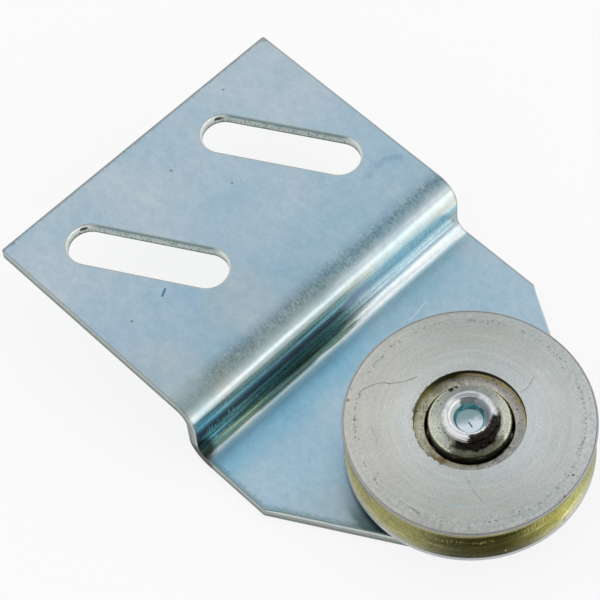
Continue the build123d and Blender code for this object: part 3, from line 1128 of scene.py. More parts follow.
@dataclass(frozen=True)
class BrightRivet(Finish):
    """Bright zinc with a faint blue film that gathers in the dimple."""

    face: float
    valley: float
    throat: float
    floor: float
    label = "bright_rivet"

    def coat(self, paint: Canvas) -> Coat:
        """Silvery lavender bead and funnel, a teal dimple wall and a pale blue floor.

        Args:
            paint: The surface that it dresses.

        Returns:
            The coat.
        """
        x, y, z = paint.at
        radius, angle = paint.polar
        cloud = paint.noise(0.9, 3.0, 0.6)
        grain = paint.noise(4.0, 3.0, 0.65)
        paint.colour = paint.between((230, 230, 232), (204, 209, 216), cloud.rise(0.38, 0.62))
        paint.varied(1.04, (0.84, 0.84, 0.86), grain.rise(0.40, 0.68))
        head = z.rise(self.face + 0.2, self.face + 0.4)
        # Painted shade: the bead is greyer on its side towards +X and +Y, and stays bright towards -X and
        # -Y.
        shaded_bead_side = radius.rise(3.75, 4.3) * head * (angle - 40.0).band(-80.0, 110.0, 40.0)
        paint.over((164, 170, 168), shaded_bead_side * (0.5 + cloud * 0.6).clamped())
        # Painted shade along the valley between the bead and the funnel.
        valley = radius.band(self.valley - 0.06, self.valley + 0.04, 0.16) * head
        paint.over((172, 178, 184), valley * (0.15 + cloud * 0.6))
        funnel = radius.band(self.throat - 0.05, self.valley - 0.15, 0.1) * head
        # Painted reflections in the funnel: a lit copy of the zinc that is darker towards +X, and a dark
        # reflection towards +X and +Y.
        painted_dark_reflection = (angle + (cloud - 0.5) * 30.0).band(34.0, 66.0, 14.0)
        shaded = (angle + 10.0).band(-60.0, 30.0, 30.0)
        lit = paint.fresh(paint.between((250, 250, 248), (140, 144, 150), shaded))
        lit.varied(1.0, (0.88, 0.89, 0.90), cloud.rise(0.46, 0.66))
        paint.over(lit.colour, funnel * 0.9)
        paint.over((104, 112, 112), funnel * painted_dark_reflection * 0.9)
        wall = z.band(self.face - 1.0, self.face + 0.38, 0.18)
        wall = wall * radius.rise(self.throat + 0.3, self.throat + 0.1)
        film = paint.noise(0.9)
        paint.over(paint.between((96, 150, 158), (150, 200, 204), film.rise(0.4, 0.6)), wall)
        # Painted shade across the dimple's floor: pale towards -Y and darker towards +Y.
        near = (x * 0.45 + y * 0.8 + (film - 0.5) * 2.0).rise(0.9, -0.9)
        pale = paint.between((132, 156, 160), (204, 215, 224), near)
        paint.over(pale, wall * radius.rise(self.floor + 0.02, self.floor - 0.12))
        # Painted shade in the corner where the dimple's floor meets its wall.
        floor_corner_shade = radius.band(self.floor - 0.04, self.floor + 0.04, 0.08) * wall
        paint.tinted((0.50, 0.62, 0.66), floor_corner_shade)
        tick = Plane(x, y).line((-0.30, -0.05), (-0.55, -1.05), 0.24)
        paint.over((62, 80, 98), tick * wall * 0.9)
        ragged = (paint.noise(1.2, 4.0, 0.7) - 0.5) * 1.0 + (grain - 0.5) * 0.9
        dirt = (angle + ragged * 30.0).band(-136.0, -50.0, 5.0) * (radius + ragged).rise(3.35, 3.5) * head
        # Grease on the bead, and a painted shadow at half share in the same tone round the head's lower
        # outer edge.
        head_edge_shadow = z.rise(self.face + 0.9, self.face + 0.2) * radius.rise(4.0, 4.1)
        grease_and_shadow_tone = paint.between((24, 19, 12), (96, 84, 64), (grain + cloud * 0.5).rise(0.80, 1.0))
        paint.over(grease_and_shadow_tone, dirt | head_edge_shadow * 0.5)
        far = (angle - 51.0).band(-55.0, 55.0, 25.0) * radius.rise(self.valley - 0.1, self.valley + 0.1)
        lit_side = angle.sector(172.5, 42.5, 15.0) * (1.0 - dirt)
        bead = radius.rise(self.valley, self.valley + 0.3)
        paint.over((246, 245, 238), lit_side * bead * cloud.rise(0.36, 0.60) * 0.7)
        chalky = funnel * (1.0 - painted_dark_reflection) * 0.85 | (far * 0.35 + lit_side * 0.5 + 0.2) * head
        metal = 1.0 - (dirt | chalky * 0.8) * 0.95
        relief = grain * 0.006 + cloud * 0.02 + dirt * (cloud * 0.25 + grain * 0.12)
        return Coat(paint.colour, metal, 0.18 + grain * 0.14 + dirt * 0.15, relief, LOW_GLOSS)


@dataclass(frozen=True)
class PlainZinc(Finish):
    """Plain satin zinc or polished steel in one tone, with fine grain."""

    label: str = "plain_washer"
    tone: Colour = srgb(198, 202, 205)
    roughness: float = 0.34

    def coat(self, paint: Canvas) -> Coat:
        """The tone with grain and a few soft clouds.

        Args:
            paint: The surface that it dresses.

        Returns:
            The coat.
        """
        grain = paint.noise(4.0, 3.0, 0.65)
        darker = tuple(0.72 * value for value in self.tone)
        clouded = grain.rise(0.42, 0.75) * 0.6 + paint.noise(0.5, 3.0) * 0.25
        colour = paint.graph.mix(self.tone, darker, clouded)
        return Coat(colour, 1.0, self.roughness + grain * 0.1, grain * 0.006)


class OldGrease(Finish):
    """Old brown-black grease with dirt in it."""

    label = "old_grease"

    def coat(self, paint: Canvas) -> Coat:
        """Nearly black, browner where it thins.

        Args:
            paint: The surface that it dresses.

        Returns:
            The coat.
        """
        cloud = paint.noise(0.9, 4.0, 0.7)
        grain = paint.noise(4.5, 3.0, 0.7)
        colour = paint.between((10, 8, 5), (48, 37, 21), cloud.rise(0.52, 0.72))
        return Coat(colour, 0.0, 0.30 + grain * 0.2, cloud * 0.12 + grain * 0.015, LOW_GLOSS)


# ---- Pieces ---------------------------------------------------------------------------------


class Body(Enum):
    """The frame's moving bodies."""

    BRACKET = "bracket"
    WHEEL = "running_wheel"
    BALLS = "ball_train"


@dataclass
class Assembly:
    """What every sub-assembly shares: it turns skins into pieces that ride on a body."""

    segments: int = field(default=256, kw_only=True)  # steps in a turn of the larger round pieces

    def add(
        self,
        name: str,
        skin: Skin,
        finish: Union[Finish, bpy.types.Material],
        body: Body,
        slot: str,
        node: str | None,
    ) -> bpy.types.Object:
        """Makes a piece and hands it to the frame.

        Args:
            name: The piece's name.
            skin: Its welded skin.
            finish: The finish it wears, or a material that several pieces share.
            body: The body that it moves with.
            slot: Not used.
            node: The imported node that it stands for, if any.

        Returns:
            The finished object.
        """
        piece = bpy.data.objects.new(name, skin.mesh(name))
        bpy.context.scene.collection.objects.link(piece)
        piece.data.materials.append(finish.material() if isinstance(finish, Finish) else finish)
        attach(piece, body.value)
        if node:
            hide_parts(node)
        log.info("%s: %d faces on %s", name, len(piece.data.polygons), body.value)
        return piece


@dataclass
class MountingPlate(Assembly):
    """The cranked plate with its slots, cropped corners and countersunk rivet hole."""

    thickness: float = 2.0
    bend_inside: float = 2.0
    web_distance: float = 31.3
    corner_angle: float = 30.5
    left_corner_start: float = 16.4
    right_corner_start: float = 14.0
    slot_width: float = 7.4
    slot_travel: float = 20.0
    slot_lean: float = 30.5
    slot_spacing: float = 30.4
    slot_distance: float = 59.0
    slot_shift: float = 1.1
    punch_rollover: float = 0.5
    shear_rollover: float = 0.14
    burr_break: float = 0.1
    plan_corner: float = 0.4
    crop_corner: float = 0.8
    crop_fade: float = 2.0  # run over which a cropped edge takes on its rollover
    hole_radius: float = 3.05
    sink_radius: float = 4.4
    sink_edge: float = 0.2
    pitch: float = 0.8  # along edges
    bend_step: float = 5.0  # degrees
    edge_step: float = 12.0
    sink_step: float = 15.0
    ring_levels: int = 9  # rings of a flat face from a hole outwards
    web_rows: int = 5
    arc_points: int = 9  # across a rounded edge
    wall_levels: tuple[float, ...] = (0.25, 0.5, 0.75)  # shares of the straight wall

    def __post_init__(self) -> None:
        """Takes the overall sizes from the frame, and works out the bends, the feet and the slots."""
        (_, self.axle_end, _), (self.half_width, screw_end, flange_front) = node_box("mounting_plate")
        self.outside = self.bend_inside + self.thickness
        # Arc lengths along the plate's front face, from the axle flange to the screw flange.
        self.first_bend = self.web_distance - self.bend_inside
        self.web_start = self.first_bend + self.bend_inside * RIGHT_ANGLE
        web = flange_front - self.thickness - self.bend_inside - self.outside
        self.web_end = self.web_start + web
        self.second_bend_end = self.web_end + self.outside * RIGHT_ANGLE
        self.screw_end = self.second_bend_end + screw_end - self.web_distance - self.outside
        cropping = math.tan(math.radians(self.corner_angle))
        self.left_foot = -self.half_width + (self.left_corner_start - self.axle_end) * cropping
        self.right_foot = self.half_width - (self.right_corner_start - self.axle_end) * cropping
        lean = math.radians(self.slot_lean)
        self.slot_axis = (math.sin(lean), -math.cos(lean))
        self.slot_half, self.slot_radius = self.slot_travel / 2, self.slot_width / 2

    def folded(
        self, across: Array, along: Array, depth: Array, lean: Array
    ) -> tuple[Array, Array, Array]:
        """Bends a point of the flat sheet into its place on the cranked plate.

        The front face runs flat, turns up through a quarter circle of the inside radius, climbs
        the web, and turns back through a quarter circle of the outside radius. A point at some
        depth lies that far behind the front face, square to it.

        Args:
            across: Distance across the plate.
            along: Distance along the front face from the wheel's axis.
            depth: Distance behind the front face.
            lean: The sheet's normal there, as (across, along, out of the front face).

        Returns:
            The points and their normals in the frame, and their places in the flat sheet.
        """
        up = np.clip((along - self.first_bend) / self.bend_inside, 0, RIGHT_ANGLE)
        back = np.clip((along - self.web_end) / self.outside, 0, RIGHT_ANGLE)
        slope = up - back
        y = np.minimum(along, self.first_bend) + self.bend_inside * np.sin(up)
        y = y + self.outside * (1 - np.cos(back)) + np.maximum(along - self.second_bend_end, 0)
        z = self.thickness + self.bend_inside * (1 - np.cos(up)) + self.outside * np.sin(back)
        z = z + np.clip(along - self.web_start, 0, self.web_end - self.web_start)
        points = np.stack([across + 0 * y, y + depth * np.sin(slope), z - depth * np.cos(slope)], axis=-1)
        normals = np.stack(
            [
                lean[..., 0] + 0 * slope,
                lean[..., 1] * np.cos(slope) - lean[..., 2] * np.sin(slope),
                lean[..., 1] * np.sin(slope) + lean[..., 2] * np.cos(slope),
            ],
            axis=-1,
        )
        return points, normals, np.stack([across + 0 * y, along + 0 * y, depth + 0 * y], axis=-1)

    def rows(self) -> Array:
        """Distances along the front face where the bends and the web are sampled."""
        steps = math.ceil(90 / self.bend_step)
        first = np.linspace(self.first_bend, self.web_start, steps + 1)
        web = np.linspace(self.web_start, self.web_end, self.web_rows)
        second = np.linspace(self.web_end, self.second_bend_end, steps + 1)
        return np.concatenate([first, web[1:], second[1:]])

    def edge(self) -> tuple[Array, Array, Array]:
        """The plate's outer edge in the flat sheet.

        Returns:
            Points, outward directions, and the rollover that each point's front edge has.
        """
        rows, side = self.rows(), self.half_width
        corners = [
            (self.slot_shift, self.screw_end, 0),
            (-side, self.screw_end, self.plan_corner),
            *[(-side, row, 0) for row in rows[::-1]],
            (-side, self.left_corner_start, self.crop_corner),
            (self.left_foot, self.axle_end, self.crop_corner),
            (self.right_foot, self.axle_end, self.crop_corner),
            (side, self.right_corner_start, self.crop_corner),
            *[(side, row, 0) for row in rows],
            (side, self.screw_end, self.plan_corner),
            (self.slot_shift, self.screw_end, 0),
        ]
        points, normals = self.filled(Outline.through(corners, closed=False, step=self.edge_step))
        start = np.where(points[:, 0] < 0, self.left_corner_start, self.right_corner_start)
        inside = np.minimum(start - points[:, 1], points[:, 1] - self.axle_end) / self.crop_fade
        cropped = np.clip(inside, 0, 1)
        rollover = self.shear_rollover + (self.punch_rollover - self.shear_rollover) * cropped
        return points, normals, rollover

    def filled(self, outline: Outline) -> tuple[Array, Array]:
        """Adds even points on every straight run that is longer than the pitch."""
        points, normals = [], []
        for here, there, normal, following in zip(
            outline.points[:-1], outline.points[1:], outline.normals[:-1], outline.normals[1:]
        ):
            count = max(1, round(float(np.linalg.norm(there - here)) / self.pitch))
            share = (np.arange(count) / count)[:, None]
            points.append(here + share * (there - here))
            normals.append(normal + share * (following - normal))
        points.append(outline.points[-1:])
        normals.append(outline.normals[-1:])
        return np.concatenate(points), np.concatenate(normals)

    def walls(self, points: Array, outward: Array, rollover: Array) -> Skin:
        """The wall all round an edge: rollover arc, straight wall, and the break at the back.

        Across an arc at angle a the edge lies in by radius (1 - sin a) and down by
        radius (1 - cos a), and the normal turns from the face to the wall.

        Args:
            points: The edge in the flat sheet.
            outward: The directions that leave the material.
            rollover: The front arc's radius at each point.

        Returns:
            The wall's skin.
        """
        turn = np.linspace(0, RIGHT_ANGLE, self.arc_points)
        front_in = rollover[:, None] * (1 - np.sin(turn))
        front_down = rollover[:, None] * (1 - np.cos(turn))
        back = np.full((len(points), 1), self.burr_break)
        fall = self.thickness - rollover[:, None] - self.burr_break
        wall_down = rollover[:, None] + fall * np.array(self.wall_levels)
        back_in = back * (1 - np.sin(turn[::-1]))
        back_down = self.thickness - back * (1 - np.cos(turn[::-1]))
        inset = np.concatenate([front_in, 0 * wall_down, back_in], axis=1)
        down = np.concatenate([front_down, wall_down, back_down], axis=1)
        angle = np.concatenate([turn, [RIGHT_ANGLE] * len(self.wall_levels), math.pi - turn[::-1]])
        flat = points[:, None] - outward[:, None] * inset[..., None]
        side = outward[:, None] * np.sin(angle)[None, :, None]
        rise = np.broadcast_to(np.cos(angle)[None, :, None], (*inset.shape, 1))
        lean = np.concatenate([side, rise], axis=-1)
        return Skin.grid(*self.folded(flat[..., 0], flat[..., 1], down, lean))

    def face(self, inner: Array, outer: Array, depth: float, levels: Array) -> Skin:
        """A flat face between two loops of the sheet, as straight lines from one to the other.

        Args:
            inner: The loop round the hole.
            outer: The loop round the face, point for point.
            depth: 0 for the front and the thickness for the back.
            levels: Shares of the way out at which rings lie.

        Returns:
            The face's skin.
        """
        return self.level(inner[None] + levels[:, None, None] * (outer - inner)[None], depth, True)

    def level(self, flat: Array, depth: float, wrap: bool) -> Skin:
        """Part of the plate's front or back.

        Args:
            flat: Rows by columns of places in the flat sheet.
            depth: 0 for the front and the thickness for the back.
            wrap: Whether the last column joins the first.

        Returns:
            The part's skin.
        """
        lean = np.zeros((*flat.shape[:2], 3))
        lean[..., 2] = 1.0 if depth == 0 else -1.0
        depths = np.full(flat.shape[:2], depth)
        return Skin.grid(*self.folded(flat[..., 0], flat[..., 1], depths, lean), wrap_columns=wrap)

    def slot_centre(self, side: int) -> tuple[float, float]:
        """The middle of a slot in the flat sheet; side is -1 for the left and 1 for the right."""
        bend_shift = self.second_bend_end - self.web_distance - self.outside
        return self.slot_shift + side * self.slot_spacing / 2, self.slot_distance + bend_shift

    def slot_loop(self, outer: Array, side: int) -> tuple[Array, Array]:
        """Where a loop of points falls on a slot's middle line, and the directions out from it.

        Args:
            outer: The loop round the cell that holds the slot.
            side: -1 for the left slot and 1 for the right.

        Returns:
            For each point, the nearest point of the middle line and the direction away from it.
        """
        centre, axis = np.array(self.slot_centre(side)), np.array(self.slot_axis)
        reach = np.clip((outer - centre) @ axis, -self.slot_half, self.slot_half)
        nearest = centre + reach[:, None] * axis
        away = outer - nearest
        return nearest, away / np.linalg.norm(away, axis=1, keepdims=True)

    def loops(self, rim: Array, inset: float, marks: Sequence[int]) -> tuple[dict[int, Array], Array, Array]:
        """The closed loops that bound the flat faces, for an edge that is drawn in by an inset.

        Args:
            rim: The plate's edge, drawn in.
            inset: How far in the long sides lie.
            marks: Where the rim passes the bends: left top, left foot, right foot, right top.

        Returns:
            The loop of each slot's cell by side, the loop of the axle flange, and the columns
            across the bends, which the loops share.
        """
        left_top, left_foot, right_foot, right_top = marks
        half, middle = self.half_width, self.slot_shift
        halves = self._even(inset - half, middle, half), self._even(middle, half - inset, half)
        columns = np.concatenate([halves[0], halves[1][1:]])
        flange = self.screw_end - self.second_bend_end
        split = self._even(self.second_bend_end, float(rim[0, 1]), flange)
        divide = np.stack([np.full(len(split), middle), split], axis=-1)
        left, right = (self._row(part, self.second_bend_end) for part in halves)
        cells = {
            -1: np.concatenate([rim[: left_top + 1], left[1:], divide[1:-1]]),
            1: np.concatenate([right, rim[right_top + 1 :], divide[-2:0:-1]]),
        }
        top = self._row(columns[::-1], self.first_bend)
        return cells, np.concatenate([rim[left_foot : right_foot + 1], top[1:-1]]), columns

    def skin(self) -> Skin:
        """The whole plate: front, back, outer edge, slots and rivet hole.

        Returns:
            One closed skin.
        """
        points, outward, rollover = self.edge()

        def nearest(x: float, y: float) -> int:
            """The edge point nearest to a place."""
            return int(np.argmin(np.hypot(points[:, 0] - x, points[:, 1] - y)))

        side, first, last = self.half_width, self.first_bend, self.second_bend_end
        marks = nearest(-side, last), nearest(-side, first), nearest(side, first), nearest(side, last)
        rings = np.linspace(0, 1, self.ring_levels) ** 1.5  # closer together round the hole
        bare_cells, bare_axle, _ = self.loops(points, 0.0, marks)
        slots = {key: self.slot_loop(loop, key) for key, loop in bare_cells.items()}
        from_axle = bare_axle / np.linalg.norm(bare_axle, axis=1, keepdims=True)
        skins = [self.walls(points, outward, rollover), self.rivet_hole(from_axle)]
        for depth, drawn, side_inset, slot_inset, hole in (
            (0.0, rollover[:, None], self.shear_rollover, self.punch_rollover, self.hole_radius),
            (self.thickness, self.burr_break, self.burr_break, self.burr_break, self.sink_radius),
        ):
            cells, axle, columns = self.loops(points - outward * drawn, side_inset, marks)
            for key, loop in cells.items():
                middle, away = slots[key]
                skins.append(self.face(middle + away * (self.slot_radius + slot_inset), loop, depth, rings))
            skins.append(self.face(from_axle * (hole + self.burr_break), axle, depth, rings))
            bends = np.stack(np.meshgrid(columns, self.rows()), axis=-1)
            skins.append(self.level(bends, depth, False))
        for middle, away in slots.values():
            ring = np.arange(len(away) + 1) % len(away)
            edge = (middle + away * self.slot_radius)[ring]
            skins.append(self.walls(edge, -away[ring], np.full(len(ring), self.punch_rollover)))
        return Skin.joined(skins)

    @staticmethod
    def _row(across: Array, along: float) -> Array:
        """Places across the sheet at one distance along it."""
        return np.stack([across, np.full(len(across), along)], axis=-1)

    def _even(self, start: float, end: float, length: float) -> Array:
        """Even places from start to end, as many as put a length's places a pitch apart."""
        return np.linspace(start, end, max(2, round(length / self.pitch)) + 1)

    def rivet_hole(self, directions: Array) -> Skin:
        """The wall of the countersunk hole.

        Args:
            directions: Unit directions from the axis, matching the faces' inner loops.

        Returns:
            The hole's skin.
        """
        hole, sink, rounding = self.hole_radius, self.sink_radius, self.burr_break
        corners = [
            (hole + rounding, self.thickness, 0),
            (hole, self.thickness, rounding),
            (hole, self.sink_edge + sink - hole, rounding),
            (sink, self.sink_edge, rounding / 2),
            (sink, 0, rounding),
            (sink + rounding, 0, 0),
        ]
        outline = Outline.through(corners, closed=False, step=self.sink_step)
        places, normals = outline.swept(np.concatenate([directions, directions[:1]]))
        return Skin.grid(places, normals, places * (1, 1, -1) + (0, 0, self.thickness))

    def build(self) -> None:
        """Builds the plate and dresses it."""
        finish = BlueZinc(self)
        self.add("cranked_plate", self.skin(), finish, Body.BRACKET, finish.label, "mounting_plate")


@dataclass
class RunningWheel(Assembly):
    """The grooved wheel and the race that is pressed into it."""

    groove_depth: float = 3.6
    groove_radius: float = 2.4
    rim_land: float = 0.95
    rim_round: float = 0.22
    mouth_round: float = 0.12
    band_width: float = 2.3
    band_drop: float = 0.15
    band_round: float = 1.0
    back_lip: float = 0.8
    edge_round: float = 0.12
    track_radius: float = 1.56
    race_bore: float = 7.033
    race_edge: float = 0.2
    track_edge: float = 0.05

    def __post_init__(self) -> None:
        """Takes the wheel's and the race's overall sizes from the frame."""
        self.radius, self.back, self.face = round_box("wheel")
        self.race_radius, self.race_back, self.race_face = round_box("outer_race")
        self.middle = (self.back + self.face) / 2
        low, high = node_box("ball_01")
        self.pitch_radius = (high[0] + low[0]) / 2

    def wheel_skin(self) -> Skin:
        """The grooved wheel, turned.

        Returns:
            A closed ring.
        """
        half_mouth = (self.face - self.back) / 2 - self.rim_land
        floor = self.radius - self.groove_depth + self.groove_radius
        opening = math.hypot(half_mouth, self.radius - floor)
        flank = math.atan2(half_mouth, self.radius - floor) - math.asin(self.groove_radius / opening)
        apex = self.radius - half_mouth / math.tan(flank)
        lip = self.race_radius - self.back_lip
        radius, middle, edge, mouth = self.radius, self.middle, self.edge_round, self.mouth_round
        corners = [
            (lip, self.back, edge),
            (radius, self.back, self.rim_round),
            (radius, middle - half_mouth, mouth),
            (apex, middle, self.groove_radius),
            (radius, middle + half_mouth, mouth),
            (radius, self.face - self.band_drop, self.rim_round),
            (radius - self.band_width, self.face, self.band_round),
            (self.race_radius, self.face, edge),
            (self.race_radius, self.race_back, edge),
            (lip, self.race_back, edge),
        ]
        return Outline.through(corners).turned(self.segments)

    def race_skin(self) -> Skin:
        """The pressed-in race with its track, turned.

        Returns:
            A closed ring.
        """
        half = math.sqrt(self.track_radius**2 - (self.race_bore - self.pitch_radius) ** 2)
        mouth = math.asin(half / self.track_radius)
        apex = self.pitch_radius + self.track_radius / math.cos(mouth)
        bore, outer, middle = self.race_bore, self.race_radius, self.middle
        corners = [
            (bore, self.race_back, self.race_edge),
            (outer, self.race_back, self.edge_round),
            (outer, self.race_face, self.edge_round),
            (bore, self.race_face, self.race_edge),
            (bore, middle + half, self.track_edge),
            (apex, middle, self.track_radius - TRACK_SLACK),
            (bore, middle - half, self.track_edge),
        ]
        return Outline.through(corners).turned(self.segments)

    def build(self) -> None:
        """Builds the wheel and its race, and dresses them."""
        steel = TurnedSteel(self.face, self.back, self.radius, self.race_radius, self.rim_land)
        self.add("grooved_wheel", self.wheel_skin(), steel, Body.WHEEL, steel.label, "wheel")
        zinc = WornYellowZinc(self.race_face, self.race_bore, self.race_radius)
        self.add("bearing_race", self.race_skin(), zinc, Body.WHEEL, zinc.label, "outer_race")


@dataclass
class AxleBearing(Assembly):
    """The rivet, its washer, the two cones and the balls between the cones and the race."""

    segments: int = 160
    ball_count: int = 13
    ball_rings: int = 24
    ball_columns: int = 40
    track_radius: float = 1.56
    hole_radius: float = 3.05
    cone_edge: float = 0.5
    shank_radius: float = 3.0
    back_head_edge: float = 0.2
    head_edge_height: float = 0.6
    head_underside: float = 0.4
    back_head_radius: float = 4.4
    bead_crest: float = 3.9
    valley: tuple[float, float] = (3.45, 0.23)  # radius, and drop below the head's top
    lip: tuple[float, float] = (3.1, 0.3)
    throat: tuple[float, float] = (2.6, 0.5)  # radius, and height above the cone
    floor_radius: float = 2.15
    dimple_depth: float = 2.05
    washer_edge: float = 0.2
    grease_span: tuple[float, float] = (-160.0, -46.0)  # degrees round the head
    grease_bulge: tuple[float, float] = (-122.0, 24.0)  # degrees: where it's widest, and over how much
    grease_steps: tuple[int, int] = (160, 36)  # along the bank and round its section
    grease_gap: float = 0.08  # between the bank's top and the head's

    def __post_init__(self) -> None:
        """Takes the overall sizes from the frame."""
        self.cone_radius, self.middle, self.face = round_box("front_cone")
        self.head_radius, _, self.top = round_box("axle_rivet")
        self.washer_radius, self.washer_back, self.washer_face = round_box("spacer_washer")
        low, high = node_box("ball_01")
        self.ball_radius = (high[2] - low[2]) / 2
        self.pitch_radius = high[0] - self.ball_radius

    def cone_skin(self, front: bool) -> Skin:
        """One cone with its half of the inner track; the rear one is the front one mirrored.

        Args:
            front: Whether it is the cone under the rivet's head.

        Returns:
            A closed ring.
        """
        reach = self.cone_radius - self.pitch_radius
        lip = math.acos(reach / self.track_radius)
        inner = self.pitch_radius - self.track_radius
        start = self.middle + self.track_radius * math.sin(lip)
        hole, outer = self.hole_radius, self.cone_radius
        corners = [
            (hole, self.middle, 0),
            (inner, self.middle, 0),
            (inner, start + (outer - inner) / math.tan(lip), self.track_radius - TRACK_SLACK),
            (outer, start, 0.04),
            (outer, self.face, self.cone_edge),
            (hole, self.face, 0.1),
        ]
        if not front:
            corners = [(across, 2 * self.middle - up, rounding) for across, up, rounding in corners[::-1]]
        return Outline.through(corners).turned(self.segments)

    def rivet_skin(self) -> Skin:
        """The rivet: countersunk back head, shank, and the beaded head with its dimple.

        Returns:
            A closed solid of revolution.
        """
        back, edge, shank = self.back_head_radius, self.back_head_edge, self.shank_radius
        head, top, face = self.head_radius, self.top, self.face
        floor = top - self.dimple_depth
        corners = [
            (0, 0, 0),
            (back, 0, 0.08),  # back head
            (back, edge, 0.05),
            (shank, edge + back - shank, 0.1),
            (shank, face, 0.05),
            (head - self.head_underside, face, 0.06),  # clinched head
            (head, face + self.head_edge_height, 0.3),
            (head, top, 0.5),
            (self.bead_crest, top, 0.35),
            (self.valley[0], top - self.valley[1], 0.1),  # funnel and dimple
            (self.lip[0], top - self.lip[1], 0.28),
            (self.throat[0], face + self.throat[1], 0.3),
            (self.floor_radius, floor, 0.12),
            (0, floor, 0),
        ]
        return Outline.through(corners, closed=False).turned(self.segments, closed=False)

    def washer_skin(self) -> Skin:
        """The spacer washer, turned."""
        hole, outer, edge = self.hole_radius, self.washer_radius, 0.05
        corners = [
            (hole, self.washer_back, edge),
            (outer, self.washer_back, edge),
            (outer, self.washer_face, self.washer_edge),
            (hole, self.washer_face, edge),
        ]
        return Outline.through(corners).turned(self.segments)

    def ball_skin(self, index: int) -> Skin:
        """One ball in its place round the track.

        A point is the centre plus the radius times (sin t cos a, sin t sin a, cos t), for t from
        pole to pole and a all the way round.

        Args:
            index: Which ball, from 0.

        Returns:
            A closed sphere.
        """
        turn = 2 * math.pi * index / self.ball_count
        centre = self.pitch_radius * np.array([math.cos(turn), math.sin(turn), 0]) + (0, 0, self.middle)
        tilt = np.linspace(0, math.pi, self.ball_rings + 1)[:, None]
        angle = np.arange(self.ball_columns)[None] * (2 * math.pi / self.ball_columns)
        across = np.sin(tilt)
        unit = np.stack([across * np.cos(angle), across * np.sin(angle), np.cos(tilt) + 0 * angle], axis=-1)
        return Skin.joined([Skin.grid(centre + self.ball_radius * unit, unit, wrap_columns=True)])

    def grease_skin(self) -> Skin:
        """A lumpy bank of grease that buries the head's outer edge on one side.

        Along the bank the angle runs over its span; round it, a point at angle b of its section
        lies at radius middle + half width cos b and height cone face + rise sin b. Both sizes
        swell and shrink as sums of sines, down to nothing at the two ends, and the width also
        swells as a bell curve round one angle.

        Returns:
            A closed skin.
        """
        low, high = (math.radians(v) for v in self.grease_span)
        rows, columns = self.grease_steps
        along = np.linspace(0, 1, rows + 1)[:, None]
        around = np.arange(columns)[None] * (2 * math.pi / columns)
        angle = low + (high - low) * along
        taper = np.sin(math.pi * along) ** 0.5
        lumps = 1 + 0.16 * np.sin(11 * angle + 0.6) + 0.12 * np.sin(23 * angle + 2.0)
        lumps = lumps + 0.07 * np.sin(43 * angle)
        knobs = 1 + 0.10 * np.sin(17 * angle + 3 * around) + 0.06 * np.sin(37 * angle + 2 * around)
        peak, spread = self.grease_bulge
        half = (0.42 + 0.62 * np.exp(-(((np.degrees(angle) - peak) / spread) ** 2))) * taper * lumps
        tall = self.top - self.face - self.grease_gap
        rise = np.minimum(tall * (0.45 + 0.62 * along * taper) * taper * knobs, tall)
        upper = np.maximum(np.sin(around), 0) ** 0.8
        ripple = 1 + 0.10 * np.sin(19 * angle + 4 * around)
        radius = self.head_radius + 0.10 + half * np.cos(around) * ripple
        height = self.face + rise * upper - 0.05
        points = np.stack([radius * np.cos(angle), radius * np.sin(angle), height + 0 * radius], axis=-1)
        tangent_along = np.gradient(points, axis=0)
        tangent_around = (np.roll(points, -1, axis=1) - np.roll(points, 1, axis=1)) / 2
        normals = np.cross(tangent_around, tangent_along)
        middle = points.mean(axis=1, keepdims=True)
        normals *= np.sign((normals * (points - middle)).sum(axis=-1, keepdims=True) + 1e-12)
        normals[:, np.sin(around[0]) < -0.01] = (0.0, 0.0, -1.0)
        normals /= np.maximum(np.linalg.norm(normals, axis=-1, keepdims=True), TINY)
        return Skin.joined([Skin.grid(points, normals, wrap_columns=True)])

    def build(self) -> None:
        """Builds the bearing and the rivet, and dresses them."""
        def fixed(name: str, skin: Skin, finish: Finish, slot: str, node: str | None) -> None:
            """Adds a piece that stands still with the plate."""
            self.add(name, skin, finish, Body.BRACKET, slot, node)

        cone, washer = GreasyZinc(self.face, self.cone_radius), PlainZinc()
        rear = PlainZinc("rear_zinc_cone")
        bright = BrightRivet(self.face, self.valley[0], self.throat[0], self.floor_radius)
        fixed("front_cone_ring", self.cone_skin(True), cone, cone.label, "front_cone")
        fixed("rear_cone_ring", self.cone_skin(False), rear, cone.label, "rear_cone")
        fixed("spacer_washer_ring", self.washer_skin(), washer, washer.label, "spacer_washer")
        fixed("clinched_rivet", self.rivet_skin(), bright, bright.label, "axle_rivet")
        fixed("grease_bank", self.grease_skin(), OldGrease(), cone.label, None)
        steel = PlainZinc("ball_steel", srgb(140, 138, 132), 0.26)
        shared = steel.material()
        for index in range(self.ball_count):
            ball, node = f"bearing_ball_{index + 1:02d}", f"ball_{index + 1:02d}"
            self.add(ball, self.ball_skin(index), shared, Body.BALLS, steel.label, node)


# ---- Studio ---------------------------------------------------------------------------------


CLIP = (0.01, 100.0)  # what the camera sees, from and to, in metres


@dataclass(frozen=True)
class Viewpoint:
    """Where the camera stands; azimuth 0 looks along +Y, and 90 along -X."""

    target: Triple = (-1.21, 36.91, 8.3)
    azimuth: float = -39.117
    elevation: float = 58.459
    roll: float = -6.294
    distance: float = 421.21
    lens: float = 155.22

    def place_camera(self) -> None:
        """Adds the camera and makes it the scene's."""
        azimuth, elevation, roll = (math.radians(v) for v in (self.azimuth, self.elevation, self.roll))
        level_share = math.cos(elevation)
        back = Vector(
            (math.sin(azimuth) * level_share, -math.cos(azimuth) * level_share, math.sin(elevation))
        )
        level = Vector((math.cos(azimuth), math.sin(azimuth), 0))
        upright = back.cross(level)
        right = level * math.cos(roll) + upright * math.sin(roll)
        up = back.cross(right)
        data = bpy.data.cameras.new("camera")
        data.lens = self.lens
        data.clip_start, data.clip_end = CLIP
        camera = bpy.data.objects.new("camera", data)
        place = (Vector(self.target) + back * self.distance) * MM
        camera.matrix_world = Matrix.LocRotScale(place, Matrix((right, up, back)).transposed(), None)
        bpy.context.scene.collection.objects.link(camera)
        bpy.context.scene.camera = camera


